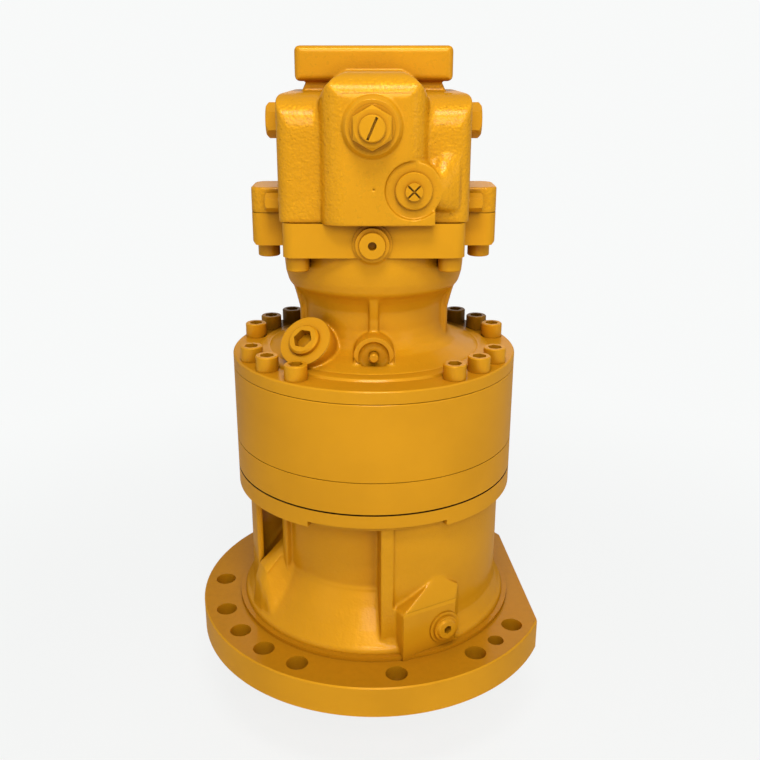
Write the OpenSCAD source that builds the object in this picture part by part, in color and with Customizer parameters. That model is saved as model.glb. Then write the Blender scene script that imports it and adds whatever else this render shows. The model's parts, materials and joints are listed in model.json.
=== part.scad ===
// Excavator swing motor with its two-stage planetary reduction gear.
// Z = 0 is the mounting face, +Z runs up the shaft and the front of the machine looks along -Y.

/* [Mounting flange] */
// Outer diameter of the mounting flange
flange_d = 421; // [416:1:440]
// Thickness of the mounting flange
flange_t = 36; // [32:1:38]
// Distance from a mounting hole's axis to the flange's rim
hole_edge = 23.5; // [21:0.5:25]
// Diameter of a mounting hole
flange_hole_d = 24; // [20:0.5:25]
// Diameter of the two jacking-screw holes
jack_hole_d = 18; // [14:0.5:20]
// Depth of the flat cut on the flange's rim
rim_flat_in = 27.5; // [20:0.5:30]
// Diameter of the spigot that centres the flange
pilot_d = 300; // [290:1:310]
// Depth of the centring spigot below the mounting face
pilot_h = 12; // [8:1:14]
// Width of the flange's face outside the low ring that stands on it
register_in = 45; // [43:0.5:48]

/* [Gear case] */
// Height of the gear case above the mounting face
case_h = 210; // [208:1:220]
// Thickness of the case's upper flange
case_flange_t = 20.5; // [16:0.5:23]
// Outer diameter of the full wall of the case
case_wall_d = 296; // [290:1:302]
// Outer diameter of the necked front of the case
case_neck_d = 236; // [230:1:244]
// Thickness of the front rib on the case
rib_t = 14; // [10:0.5:16]
// Depth of the drain boss beyond the case wall
drain_boss_out = 12; // [8:0.5:16]

/* [Reduction gear] */
// Outer diameter of the ring gear and of the flanges that clamp it
body_d = 320; // [316:1:326]
// Height of the spacer ring below the ring gear
spacer_h = 37; // [36:0.5:42]
// Height of the ring gear
ring_h = 86; // [86:0.5:92]
// Tooth module of both planetary stages
gear_module = 4; // [3.9:0.05:4.05]
// Face width of the second-stage planets
stage2_face = 36; // [32:0.5:36]
// Face width of the first-stage planets
stage1_face = 20; // [16:0.5:20]
// Tooth module of the output pinion
pinion_module = 10; // [9:0.5:10]
// Face width of the output pinion
pinion_face = 82; // [70:1:90]
// Play between meshing flanks
backlash = 0.3; // [0.25:0.05:0.5]
// Diameter of the second-stage planet pins
pin2_d = 36; // [30:1:40]
// Diameter of the first-stage planet pins
pin1_d = 28; // [24:1:34]

/* [Output shaft bearings] */
// Bore of the lower shaft bearing
low_brg_bore = 110; // [104:1:112]
// Outer diameter of the lower shaft bearing
low_brg_od = 170; // [168:1:174]
// Width of the lower shaft bearing
low_brg_w = 38; // [36:0.5:40]
// Bore of the upper shaft bearing
up_brg_bore = 100; // [98:1:102]
// Outer diameter of the upper shaft bearing
up_brg_od = 150; // [148:1:154]
// Width of the upper shaft bearing
up_brg_w = 32; // [30:0.5:34]

/* [Motor housing] */
// Thickness of the cover flange over the ring gear
cover_t = 14; // [12:0.5:16]
// Height from the ring gear to the joint with the valve block
housing_h = 169; // [168:0.5:172]
// Outer diameter of the waisted part of the housing
waist_d = 160; // [156:1:164]
// Outer diameter of the brake bowl
bowl_d = 197; // [194:1:200]
// Distance from a plate screw's axis to the side of the top plate
screw_edge = 14; // [13:0.5:17]
// How far the top plate stands out in front of the bowl
plate_over = 1.5; // [1:0.5:4]
// Thickness of the housing's top plate
plate_t = 34.5; // [30:0.5:36]
// Distance from an ear screw's axis to the end of its ear
ear_edge = 15; // [14:0.5:18]
// Width of an ear
ear_w = 60; // [54:1:66]
// Diameter of the filler boss
filler_boss_d = 57; // [52:1:60]
// Width of the arched boss on the front of the dome
arch_w = 42; // [38:1:46]

/* [Valve block] */
// Width of the valve block
block_w = 191; // [186:1:195]
// Depth of the valve block
block_depth = 194; // [190:1:198]
// Height of the valve block's shoulders above the joint
block_h = 123; // [120:1:126]
// Width of the bulge on the front of the valve block
bulge_w = 106; // [102:1:110]
// How far the bulge stands out of the front face
bulge_out = 18; // [15:0.5:20]
// Height of the bulge above the joint
bulge_h = 143; // [140:1:145]
// Width of the port bridge on top
bridge_w = 164; // [160:1:170]
// Height of the port bridge
bridge_h = 35; // [32:1:38]
// Height of the valve axes above the joint
valve_axis_h = 93.5; // [91:0.5:96]
// Bore of the two main ports
port_d = 25; // [22:0.5:28]

/* [Plugs and screws] */
// Nominal size of the cover screws
cover_screw_d = 16; // [14:1:16]
// Diameter of the circle of the cover screws
cover_screw_pcd = 289; // [288:0.5:290]
// Nominal size of the screws under the top plate
block_screw_d = 16; // [14:1:16]
// Width across flats of the side valves
relief_af = 32; // [28:1:34]
// Length of a side valve's head outside the block
relief_out = 18; // [15:0.5:20]
// Width across flats of the front valve cap
cap_af = 36; // [32:1:38]
// Diameter of the front valve boss
cap_boss_d = 58; // [54:1:60]
// Diameter of the cross-slotted plug's flange
cross_plug_d = 36; // [32:1:38]
// Diameter of the plug on the front of the top plate
plate_plug_d = 34; // [30:1:34]
// Diameter of the filler plug's head
filler_plug_d = 34; // [30:1:38]
// Diameter of the drain plug's head
drain_plug_d = 29; // [26:1:31]

/* [Hydraulic motor] */
// Tilt of the cam plate's face
cam_tilt = 15; // [12:0.5:15]
// Outer diameter of the cylinder block
barrel_d = 108; // [104:1:109]
// Length of the cylinder block
barrel_l = 70; // [64:0.5:70]
// Diameter of a piston
piston_d = 17; // [15:0.5:18]
// Diameter of the circle that the pistons lie on
piston_pcd = 68; // [66:0.5:70]
// Diameter of the drive shaft at its lower bearing
shaft_brg_d = 45; // [44:0.5:46]
// Outer diameter of the drive shaft's lower bearing
shaft_brg_od = 85; // [84:0.5:88]
// Travel of the brake piston as it releases
brake_travel = 2.5; // [1.5:0.25:3]
// Thickness of a friction disc
friction_t = 3.6; // [3:0.2:3.8]
// Thickness of a separator plate
separator_t = 3.2; // [2.8:0.2:3.4]

/* [Hidden] */
$fn = 96;

// Clearances that the fits share
body_gap = 0.3;
pin_fit = 0.05;
thread_fit = 0.05;
screw_clear = 0.5;
cut = 1;

// Heights of the joints, from the mounting face up
z_case = case_h;
z_ring0 = z_case + spacer_h;
z_ring1 = z_ring0 + ring_h;
z_cover = z_ring1 + cover_t;
z_joint = z_ring1 + housing_h;
z_plate0 = z_joint - plate_t;
z_block = z_joint + block_h;
z_bulge = z_joint + bulge_h;
z_valve = z_joint + valve_axis_h;

// Paint and metal
paint = [0.88, 0.62, 0.13];
steel = [0.62, 0.64, 0.66];
dark_steel = [0.36, 0.37, 0.39];
bronze = [0.70, 0.50, 0.25];
rubber = [0.10, 0.10, 0.10];
brass = [0.78, 0.62, 0.30];

// A rectangle with round corners, centred
module round_rect(w, d, r) {
    square([w - 2 * r, d], center = true);
    square([w, d - 2 * r], center = true);
    for (sx = [-1, 1], sy = [-1, 1])
        translate([sx * (w / 2 - r), sy * (d / 2 - r)])
            circle(r = r);
}

// A ring with its axis on Z
module ring(r_out, r_in, z0, z1) {
    translate([0, 0, z0])
        difference() {
            cylinder(r = r_out, h = z1 - z0);
            translate([0, 0, -cut])
                cylinder(r = r_in, h = z1 - z0 + 2 * cut);
        }
}

// A round bar that runs along +Y from a point
module bar_y(from, r, length) {
    translate(from)
        rotate([-90, 0, 0])
            cylinder(r = r, h = length);
}

// Puts a copy of its children at each angle on a circle
module at_angles(angles, r, z) {
    for (a = angles)
        rotate([0, 0, a])
            translate([r, 0, z])
                children();
}

// A prism with six sides, measured across its flats
module hex_prism(af, h) {
    cylinder(d = af / cos(30), h = h, $fn = 6);
}

// A hexagon head with its corners turned off
module hex_head(af, h) {
    edge = 0.09 * af;
    intersection() {
        hex_prism(af, h);
        union() {
            cylinder(d = af / cos(30), h = h - edge);
            translate([0, 0, h - edge])
                cylinder(d1 = af / cos(30), d2 = af * 0.95, h = edge);
        }
    }
}

// A socket screw that points down from z = 0, with its head above
module socket_screw(d, length) {
    head_d = 1.5 * d;
    socket_af = 0.85 * d;
    edge = 0.06 * d;
    difference() {
        union() {
            cylinder(d = head_d, h = d - edge);
            translate([0, 0, d - edge])
                cylinder(d1 = head_d, d2 = head_d - 2 * edge, h = edge);
            translate([0, 0, -length])
                cylinder(d = d, h = length);
        }
        translate([0, 0, d * 0.45])
            hex_prism(socket_af, d);
    }
}

// Involute teeth.  A flank is the straight line between points taken on the involute.
pressure_angle = 20;
function inv(a) = tan(a) * 180 / PI - a;
function half_angle(r, rp, teeth, play) = let (rb = rp * cos(pressure_angle))
    90 / teeth - play * 45 / (PI * rp) + inv(pressure_angle) - inv(acos(min(1, rb / r)));
function polar(r, a) = [r * cos(a), r * sin(a)];
function flank_radii(rf, rb, ra) = let (start = max(rf, rb))
    concat(rf < rb ? [rf] : [], [start, start + (ra - start) * 0.35, start + (ra - start) * 0.7, ra]);
function gear_points(m, teeth, rf, ra, play) =
    let (rp = m * teeth / 2, rb = rp * cos(pressure_angle), radii = flank_radii(rf, rb, ra), n = len(radii))
    [for (k = [0 : teeth - 1])
        each concat(
            [for (r = radii) polar(r, 360 * k / teeth - half_angle(r, rp, teeth, play))],
            [for (i = [n - 1 : -1 : 0])
                polar(radii[i], 360 * k / teeth + half_angle(radii[i], rp, teeth, play))])];
function root_r(m, teeth) = m * teeth / 2 - 1.25 * m;
function tip_r(m, teeth) = m * teeth / 2 + 0.96 * m;

module gear(m, teeth, face) {
    linear_extrude(face)
        polygon(gear_points(m, teeth, root_r(m, teeth), tip_r(m, teeth), backlash / 2));
}

// A straight-sided spline, male when play is 0 and female when play is positive
module spline(teeth, r_root, r_tip, play) {
    half = 90 / teeth;
    side = play * 180 / (PI * r_tip);
    polygon([for (k = [0 : teeth - 1])
        each [polar(r_root + play, 360 * k / teeth - half - side),
            polar(r_tip + play, 360 * k / teeth - 0.8 * half - side),
            polar(r_tip + play, 360 * k / teeth + 0.8 * half + side),
            polar(r_root + play, 360 * k / teeth + half + side)]]);
}

// Tooth counts: each stage assembles only when sun and ring together divide by its planets
ring_teeth = 63;
sun1_teeth = 15;
planets1 = 3;
sun2_teeth = 21;
planets2 = 4;
pinion_teeth = 13;
planet1_teeth = (ring_teeth - sun1_teeth) / 2;
planet2_teeth = (ring_teeth - sun2_teeth) / 2;
centre1 = gear_module * (sun1_teeth + planet1_teeth) / 2;
centre2 = gear_module * (sun2_teeth + planet2_teeth) / 2;
ring_root_r = gear_module * ring_teeth / 2 + 1.25 * gear_module;
ring_tip_r = gear_module * ring_teeth / 2 - gear_module;

// Turn of a planet that puts its tooth in the ring's space, and of the sun that meets the planets
function planet_turn(place, planet_teeth) = place * (1 - ring_teeth / planet_teeth);
function sun_turn(place, sun_teeth, planet_teeth) =
    place * (1 + ring_teeth / sun_teeth) + 180 * planet_teeth / sun_teeth + 180 / sun_teeth;
place1 = 30;
place2 = 45;

// Heights inside the reduction gear
washer_t = 1.5;
washer_gap = 0.25;
z_s2_low = z_ring0 + 3;
z_s2_top = z_s2_low + stage2_face;
plate2_t = 30;
z_c2_plate = z_s2_low - washer_t - washer_gap;
z_c2_low = z_c2_plate - plate2_t;
z_c2_top = z_s2_top + washer_t + washer_gap;
cap2_t = 8;
z_c1_low = z_c2_top + cap2_t + 3;
plate1_t = 10;
z_c1_plate = z_c1_low + plate1_t;
z_s1_low = z_c1_plate + washer_t + washer_gap;
z_s1_top = z_s1_low + stage1_face;
z_c1_top = z_s1_top + washer_t + washer_gap;
cap1_t = 7;
post2_r = 11;
post1_r = 11;
carrier2_r = centre2 + 27;
carrier1_r = centre1 + 25;

// Heights and radii of the output shaft
z_low_brg = 8;
z_up_brg = z_case - 60;
shaft_land_r = low_brg_bore / 2 + 5;
nut_t = 14;
z_nut = z_up_brg + up_brg_w;
out_spline_root_r = 42;
out_spline_tip_r = 45;
out_spline_teeth = 20;
z_pinion_top = -22;

// Taper roller bearings: a race or roller edge at distance s along the roller's axis
brg_tilt = 12;
brg_cone = 1.5;
function brg_mid_r(bore, od) = (bore + od) / 4;
function brg_roller_r(bore, od) = (od - bore) * 0.125;
function brg_edge(rm, zm, rr, s, side, gap) =
    let (w = side * (rr + s * tan(brg_cone) + gap))
    [rm + s * sin(brg_tilt) + w * cos(brg_tilt), zm + s * cos(brg_tilt) - w * sin(brg_tilt)];

module taper_cup(bore, od, width) {
    rm = brg_mid_r(bore, od);
    rr = brg_roller_r(bore, od);
    low = brg_edge(rm, width / 2, rr, -width * 0.46, 1, body_gap);
    top = brg_edge(rm, width / 2, rr, width * 0.46, 1, body_gap);
    rotate_extrude()
        polygon([[od / 2, 0], [od / 2, width], [top[0], width], top, low, [low[0], 0]]);
}

module taper_cone(bore, od, width) {
    rm = brg_mid_r(bore, od);
    rr = brg_roller_r(bore, od);
    low = brg_edge(rm, width / 2, rr, -width * 0.4, -1, body_gap);
    top = brg_edge(rm, width / 2, rr, width * 0.4, -1, body_gap);
    rib = (od - bore) * 0.04;
    rotate_extrude()
        polygon([[bore / 2, 0], [low[0] + rib, 0], [low[0] + rib, low[1]], low, top,
            [top[0] + rib, top[1]], [top[0] + rib, width], [bore / 2, width]]);
}

module taper_rollers(bore, od, width, count) {
    rm = brg_mid_r(bore, od);
    rr = brg_roller_r(bore, od);
    half = width * 0.36;
    grow = half * tan(brg_cone);
    at_angles([for (k = [0 : count - 1]) 360 * k / count], rm, width / 2)
        rotate([0, brg_tilt, 0])
            translate([0, 0, -half])
                cylinder(r1 = rr - grow, r2 = rr + grow, h = 2 * half, $fn = 32);
}

// The upper bearing faces the lower one
module upside_down(z0, width) {
    translate([0, 0, z0 + width])
        mirror([0, 0, 1])
            children();
}

// Mounting holes: those that show, and at the back five mirror images and one more
flange_pcd = flange_d - 2 * hole_edge;
register_d = flange_d - 2 * register_in;
paired_holes = [215, 229, 243.5, 277.5, 307];
mount_angles = concat([179, 200, 329, 99], paired_holes, [for (a = paired_holes) -a]);
jack_angle = 317.5;
jack_angles = [jack_angle, -jack_angle];
rim_flat_turn = 5;
register_h = 4.5;
chamfer = 1.5;
relief_from = 244;
relief_to = 299;
relief_h = 5.8;

// The case wall is full behind, and necked in between the two front edges
neck_from = 204.5;
pocket_from = 190;
skirt_t = 7;
neck_to = 275.5;
inner_rib_at = 215;
flare_h = 30;
neck_flare_top = flange_t + 62;
pocket_floor_out = flange_t + 37;
pocket_floor_in = flange_t + 82;
pocket_d = 10;
case_bore_r = up_brg_od / 2 + 2;
case_mouth_r = 98;
z_mouth = z_nut + 0.5;

// Outside of the case above the flange: the wall flares out to the register ring
case_foot_r = register_d / 2 - 5.5;
z_foot = flange_t + register_h;

function flare(r, top) =
    [[r + (case_foot_r - r) * 0.62, z_foot + (top - z_foot) * 0.33],
        [r + (case_foot_r - r) * 0.27, z_foot + (top - z_foot) * 0.66],
        [r + (case_foot_r - r) * 0.07, z_foot + (top - z_foot) * 0.88], [r, top + 6]];

module case_wall(r, top) {
    rotate_extrude()
        polygon(concat([[0, flange_t - cut], [case_foot_r, flange_t - cut], [case_foot_r, z_foot],
            [case_foot_r - 1.5, z_foot + 5]], flare(r, top),
            [[r, z_case - case_flange_t + cut], [0, z_case - case_flange_t + cut]]));
}

// The necked front flares out below a crease
function neck_flare(r) = let (over = case_foot_r - r, rise = neck_flare_top - z_foot)
    [[case_foot_r - 3, z_foot + 6], [r + over * 0.6, z_foot + rise * 0.36],
        [r + over * 0.28, z_foot + rise * 0.67],
        [r + 1, neck_flare_top], [r, neck_flare_top + 2]];

function pocket_floor(r) =
    [[case_wall_d / 2 + 2, pocket_floor_out], [r + 3, pocket_floor_in], [r, pocket_floor_in + 5]];

// Space cut out in front of the case wall, between two angles
module case_pocket(r, floor_line, from, to, over, out_r = case_wall_d / 2 + 32) {
    z_end = z_case - case_flange_t + 2 * cut + over;
    rotate([0, 0, from])
        rotate_extrude(angle = to - from)
            polygon(concat([[out_r + over, floor_line[0][1]]], floor_line,
                [[r, z_end], [out_r + over, z_end]]));
}

// The deep pocket goes on behind the wall's thin front skirt
module skirt_pocket() {
    r = case_neck_d / 2 - pocket_d + 1;
    skirt_r = case_wall_d / 2 - skirt_t;
    z_end = z_case - case_flange_t + 2 * cut + 2;
    rotate([0, 0, pocket_from])
        rotate_extrude(angle = neck_from - pocket_from + 1)
            polygon([[skirt_r, pocket_floor_out + 8], [r + 4, pocket_floor_in + 2],
                [r, pocket_floor_in + 8], [r, z_end], [skirt_r, z_end]]);
}

// Drain boss: its face looks outwards at this angle
drain_angle = 299;
drain_face_r = case_wall_d / 2 + drain_boss_out;
drain_z = 64;
drain_boss_d = 37;
drain_pad_t = 2;
drain_spot_l = 40;
drain_thread_r = 9;
drain_bore_l = 24;
drain_left = -52;
drain_peak = -3;
drain_right = 24;
drain_left_h = 56;
drain_peak_h = 88;
drain_right_h = 70;
drain_face_h = 54;
drain_corner = 14;

module at_drain(out, z) {
    rotate([0, 0, drain_angle])
        translate([out, 0, z])
            children();
}

module drain_boss() {
    inside = case_bore_r + 12;
    at_drain(inside, flange_t)
        rotate([90, 0, 90])
            linear_extrude(drain_face_r - inside)
                polygon([[drain_left, 0], [drain_left, drain_left_h], [drain_peak, drain_peak_h],
                    [drain_right, drain_right_h], [drain_right, 0]]);
}

// The boss slopes up to the wall on top, and is cut away at its right front corner
module drain_boss_cuts() {
    size = 2 * drain_face_r;
    at_drain(drain_face_r, flange_t + drain_face_h)
        rotate([0, -20, 0])
            translate([0, -size / 2, 0])
                cube(size);
    at_drain(drain_face_r, -cut)
        translate([0, drain_corner, 0])
            rotate([0, 0, 40])
                cube(size);
}

module case_ribs() {
    rib_in = case_neck_d / 2 - 10;
    rib_out = case_wall_d / 2 + 4;
    inner_t = rib_t * 0.65;
    z_low = flange_t + register_h;
    z_end = z_case - case_flange_t + cut;
    // Front edge of the full wall
    rotate([0, 0, neck_to])
        rotate([90, 0, 0])
            translate([0, 0, -rib_t / 2])
                linear_extrude(rib_t)
                    polygon([[rib_in, z_low], [register_d / 2 - 9, z_low], [rib_out, z_low + 12],
                        [rib_out, z_end], [rib_in, z_end]]);
    // Inner rib beside the deep pocket
    rotate([0, 0, inner_rib_at])
        rotate([90, 0, 0])
            translate([0, 0, -inner_t / 2])
                linear_extrude(inner_t)
                    polygon([[rib_in - pocket_d, z_low], [case_neck_d / 2 + 8, z_low + 30],
                        [case_neck_d / 2 + 8, z_end], [rib_in - pocket_d, z_end]]);
}

module case_bores() {
    // Spot face round the drain plug
    at_drain(drain_face_r + drain_pad_t, drain_z)
        rotate([0, 90, 0])
            cylinder(d = drain_boss_d, h = drain_spot_l);
    // Lower bearing and the seal below it, open to the mounting face
    translate([0, 0, -pilot_h - cut])
        cylinder(d = low_brg_od, h = pilot_h + cut + z_low_brg + low_brg_w);
    // Oil space between the bearings
    translate([0, 0, z_low_brg + low_brg_w - cut])
        cylinder(r = case_bore_r, h = z_up_brg - z_low_brg - low_brg_w - 8 + cut);
    translate([0, 0, z_up_brg - 8 - cut])
        cylinder(d = up_brg_od - 14, h = 8 + 2 * cut);
    // Upper bearing seat and the mouth above it
    translate([0, 0, z_up_brg])
        cylinder(d = up_brg_od, h = up_brg_w + cut);
    translate([0, 0, z_mouth])
        cylinder(r = case_mouth_r, h = z_case - z_mouth + cut);
    // Drain passage
    at_drain(drain_face_r + drain_pad_t + cut, drain_z)
        rotate([0, -90, 0])
            cylinder(r = drain_thread_r, h = drain_pad_t + drain_bore_l + cut);
    at_drain(drain_face_r - drain_bore_l + cut, drain_z)
        rotate([0, -90, 0])
            cylinder(r = drain_thread_r - 5, h = drain_face_r - drain_bore_l - case_bore_r + 6);
}

module gear_case() {
    color(paint)
    difference() {
        union() {
            // Flange with a chamfered rim
            difference() {
                union() {
                    cylinder(d = flange_d, h = flange_t - chamfer);
                    translate([0, 0, flange_t - chamfer])
                        cylinder(d1 = flange_d, d2 = flange_d - 2 * chamfer, h = chamfer);
                }
                rotate([0, 0, rim_flat_turn])
                    translate([flange_d / 2 - rim_flat_in, -flange_d / 2, -cut])
                        cube([flange_d, flange_d, flange_t + 2 * cut]);
            }
            translate([0, 0, -pilot_h])
                cylinder(d = pilot_d, h = pilot_h + cut);
            translate([0, 0, flange_t - cut])
                cylinder(d = register_d, h = register_h + cut);
            difference() {
                case_wall(case_wall_d / 2, flange_t + flare_h);
                case_pocket(case_neck_d / 2, neck_flare(case_neck_d / 2), inner_rib_at - 2, neck_to, 0);
                case_pocket(case_neck_d / 2 - pocket_d, pocket_floor(case_neck_d / 2 - pocket_d),
                    neck_from, inner_rib_at, 1);
                skirt_pocket();
            }
            case_ribs();
            difference() {
                drain_boss();
                drain_boss_cuts();
            }
            at_drain(drain_face_r - 20, drain_z)
                rotate([0, 90, 0])
                    cylinder(d = drain_boss_d, h = 20 + drain_pad_t);
            // Upper flange, relieved at the front
            difference() {
                translate([0, 0, z_case - case_flange_t])
                    cylinder(d = body_d, h = case_flange_t);
                rotate([0, 0, relief_from])
                    rotate_extrude(angle = relief_to - relief_from)
                        translate([case_wall_d / 2 + 5, z_case - case_flange_t - cut])
                            square([body_d, relief_h + cut]);
            }
        }
        case_bores();
        at_angles(mount_angles, flange_pcd / 2, -cut)
            cylinder(d = flange_hole_d, h = flange_t + 2 * cut);
        at_angles(jack_angles, flange_pcd / 2, -cut)
            cylinder(d = jack_hole_d, h = flange_t + 2 * cut);
        at_angles(cover_screw_angles, cover_screw_pcd / 2, z_case - thread_l)
            cylinder(d = cover_screw_d + 2 * thread_fit, h = thread_l + cut);
        dowel_holes(z_case);
    }
}

// Cover screws in four groups of three, and the dowels between them
cover_screw_angles = [15, 30, 45, 135, 150, 165, 203, 219, 236.5, 305, 320, 335];
thread_l = case_flange_t - 1;
dowel_angles = [85, 262];
dowel_r = 5;
dowel_in = 9;

module screw_holes(z0, z1) {
    at_angles(cover_screw_angles, cover_screw_pcd / 2, z0 - cut)
        cylinder(d = cover_screw_d + 2 * screw_clear, h = z1 - z0 + 2 * cut);
}

module dowel_holes(z0) {
    at_angles(dowel_angles, cover_screw_pcd / 2, z0 - dowel_in)
        cylinder(r = dowel_r + pin_fit / 5, h = 2 * dowel_in);
}

module spacer_ring() {
    color(paint)
    difference() {
        union() {
            // The gap at the case joint shows as a dark line
            translate([0, 0, z_case])
                cylinder(d = body_d - 3, h = 1.2);
            translate([0, 0, z_case + 1])
                cylinder(d = body_d, h = spacer_h - 1);
        }
        translate([0, 0, z_case - cut])
            cylinder(r = carrier2_r + 6, h = spacer_h + 2 * cut);
        screw_holes(z_case, z_ring0);
        dowel_holes(z_case);
        dowel_holes(z_ring0);
    }
}

module ring_gear() {
    color(paint)
    difference() {
        union() {
            translate([0, 0, z_ring0])
                cylinder(d1 = body_d - 1, d2 = body_d, h = 0.5);
            translate([0, 0, z_ring0 + 0.5])
                cylinder(d = body_d, h = ring_h - 0.5 - chamfer);
            translate([0, 0, z_ring1 - chamfer])
                cylinder(d1 = body_d, d2 = body_d - 2 * chamfer, h = chamfer);
        }
        translate([0, 0, z_ring0 - cut])
            linear_extrude(ring_h + 2 * cut)
                polygon(gear_points(gear_module, ring_teeth, ring_tip_r, ring_root_r, -backlash / 2));
        screw_holes(z_ring0, z_ring1);
        dowel_holes(z_ring0);
        dowel_holes(z_ring1);
    }
}

// Motor housing: inside heights, from the cover up to the valve block
z_recess = z_ring1 + 12;
z_shaft_brg = z_ring1 + 19;
shaft_brg_w = 19;
z_cavity = z_shaft_brg + shaft_brg_w + 2;
cavity_r = waist_d / 2 - 9;
z_stack = z_joint - 72;
stack_r = 81;
stack_lug_r = 84;
z_piston_bore = z_joint - 42;
piston_bore_r = 84.5;
bearing_land = 12;
bead_r = 130;
lug_count = 8;
lug_w = 12;

// Outside of the housing as one turned profile, from the cover flange up to the plate
function housing_profile() = let (rw = waist_d / 2, rb = bowl_d / 2, zb = z_plate0 + cut)
    [[0, z_ring1], [body_d / 2, z_ring1], [body_d / 2, z_cover - chamfer], [body_d / 2 - chamfer, z_cover],
        [bead_r + 2, z_cover], [bead_r, z_cover + 2.4], [bead_r - 4, z_cover + 3.4],
        [bead_r - 8, z_cover + 2.8],
        [108, z_cover + 8], [rw + 14, z_cover + 14], [rw + 6, z_cover + 20], [rw + 2, z_cover + 28],
        [rw, z_cover + 38],
        [rw, z_plate0 - 62], [rw + 3, z_plate0 - 53], [rw + 8, z_plate0 - 46], [rb - 5, z_plate0 - 42],
        [rb - 3.5, z_plate0 - 39], [rb - 1, z_plate0 - 30], [rb, z_plate0 - 20], [rb, zb], [0, zb]];

// Seen from above, the top plate has two ears that carry the side screws
module plate_outline(w, d) {
    round_rect(w, d, 12);
    round_rect(ear_span, ear_w, 12);
}

filler_at = [-72.5, -83, 375];
filler_turn = 241;
filler_tilt = 42;
filler_thread_r = 12;
filler_bore_l = 20;
filler_boss_l = 34;

// Puts its children on the filler boss, with the plug's axis as Z and the face at z = 0
module at_filler() {
    translate([filler_at[0], filler_at[1], z_cover + filler_at[2] - 346])
        rotate([0, 0, filler_turn])
            rotate([0, 90 - filler_tilt, 0])
                children();
}

arch_front = waist_d / 2 + 24;
arch_z = z_cover + 18;
arch_wall = 5;
arch_deep = 4;

module arch_outline(w, h) {
    translate([-w / 2, -h])
        square([w, h]);
    circle(d = w);
}

module front_arch() {
    stand = arch_front - waist_d / 2 + 12;
    translate([0, -arch_front, arch_z])
        rotate([90, 0, 0])
            translate([0, 0, -stand])
                linear_extrude(stand)
                    arch_outline(arch_w, 18);
}

module front_arch_recess() {
    translate([0, -arch_front, arch_z])
        rotate([90, 0, 0])
            translate([0, 0, -arch_deep])
                linear_extrude(arch_deep + cut)
                    arch_outline(arch_w - 2 * arch_wall, 6);
}

fin_t = 10;

module waist_fins() {
    // One fin above the arch and one at each side of the waist
    rw = waist_d / 2;
    for (a = [270, 342, 198])
        rotate([0, 0, a])
            rotate([90, 0, 0])
                linear_extrude(fin_t, center = true)
                    polygon([[rw - 6, z_cover + 12], [rw + 5, z_cover + 12], [rw + 5, z_plate0 - 68],
                        [rw + 8, z_plate0 - 56], [bowl_d / 2 - 7, z_plate0 - 43], [rw - 6, z_plate0 - 43]]);
}

// The screws under the plate stand round the bowl, and the plate's sizes follow from them
block_head_r = 0.75 * block_screw_d;
screw_turn = 45.7;
plate_screw = polar(bowl_d / 2 + block_head_r + 1.2, screw_turn);
ear_screw_x = bowl_d / 2 + block_head_r + 5.5;
block_screw_at = [for (s = [1, -1])
    each [[plate_screw[0], s * plate_screw[1]], [-plate_screw[0], s * plate_screw[1]], [s * ear_screw_x, 0]]];
plate_w = 2 * (plate_screw[0] + screw_edge);
plate_depth = bowl_d + 2 * plate_over;
ear_span = 2 * (ear_screw_x + ear_edge);
ear_chamfer = 4;
plate_plug_z = z_plate0 + plate_t * 0.42;
plate_plug_x = -1.5;
plate_front = plate_depth / 2;

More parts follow.
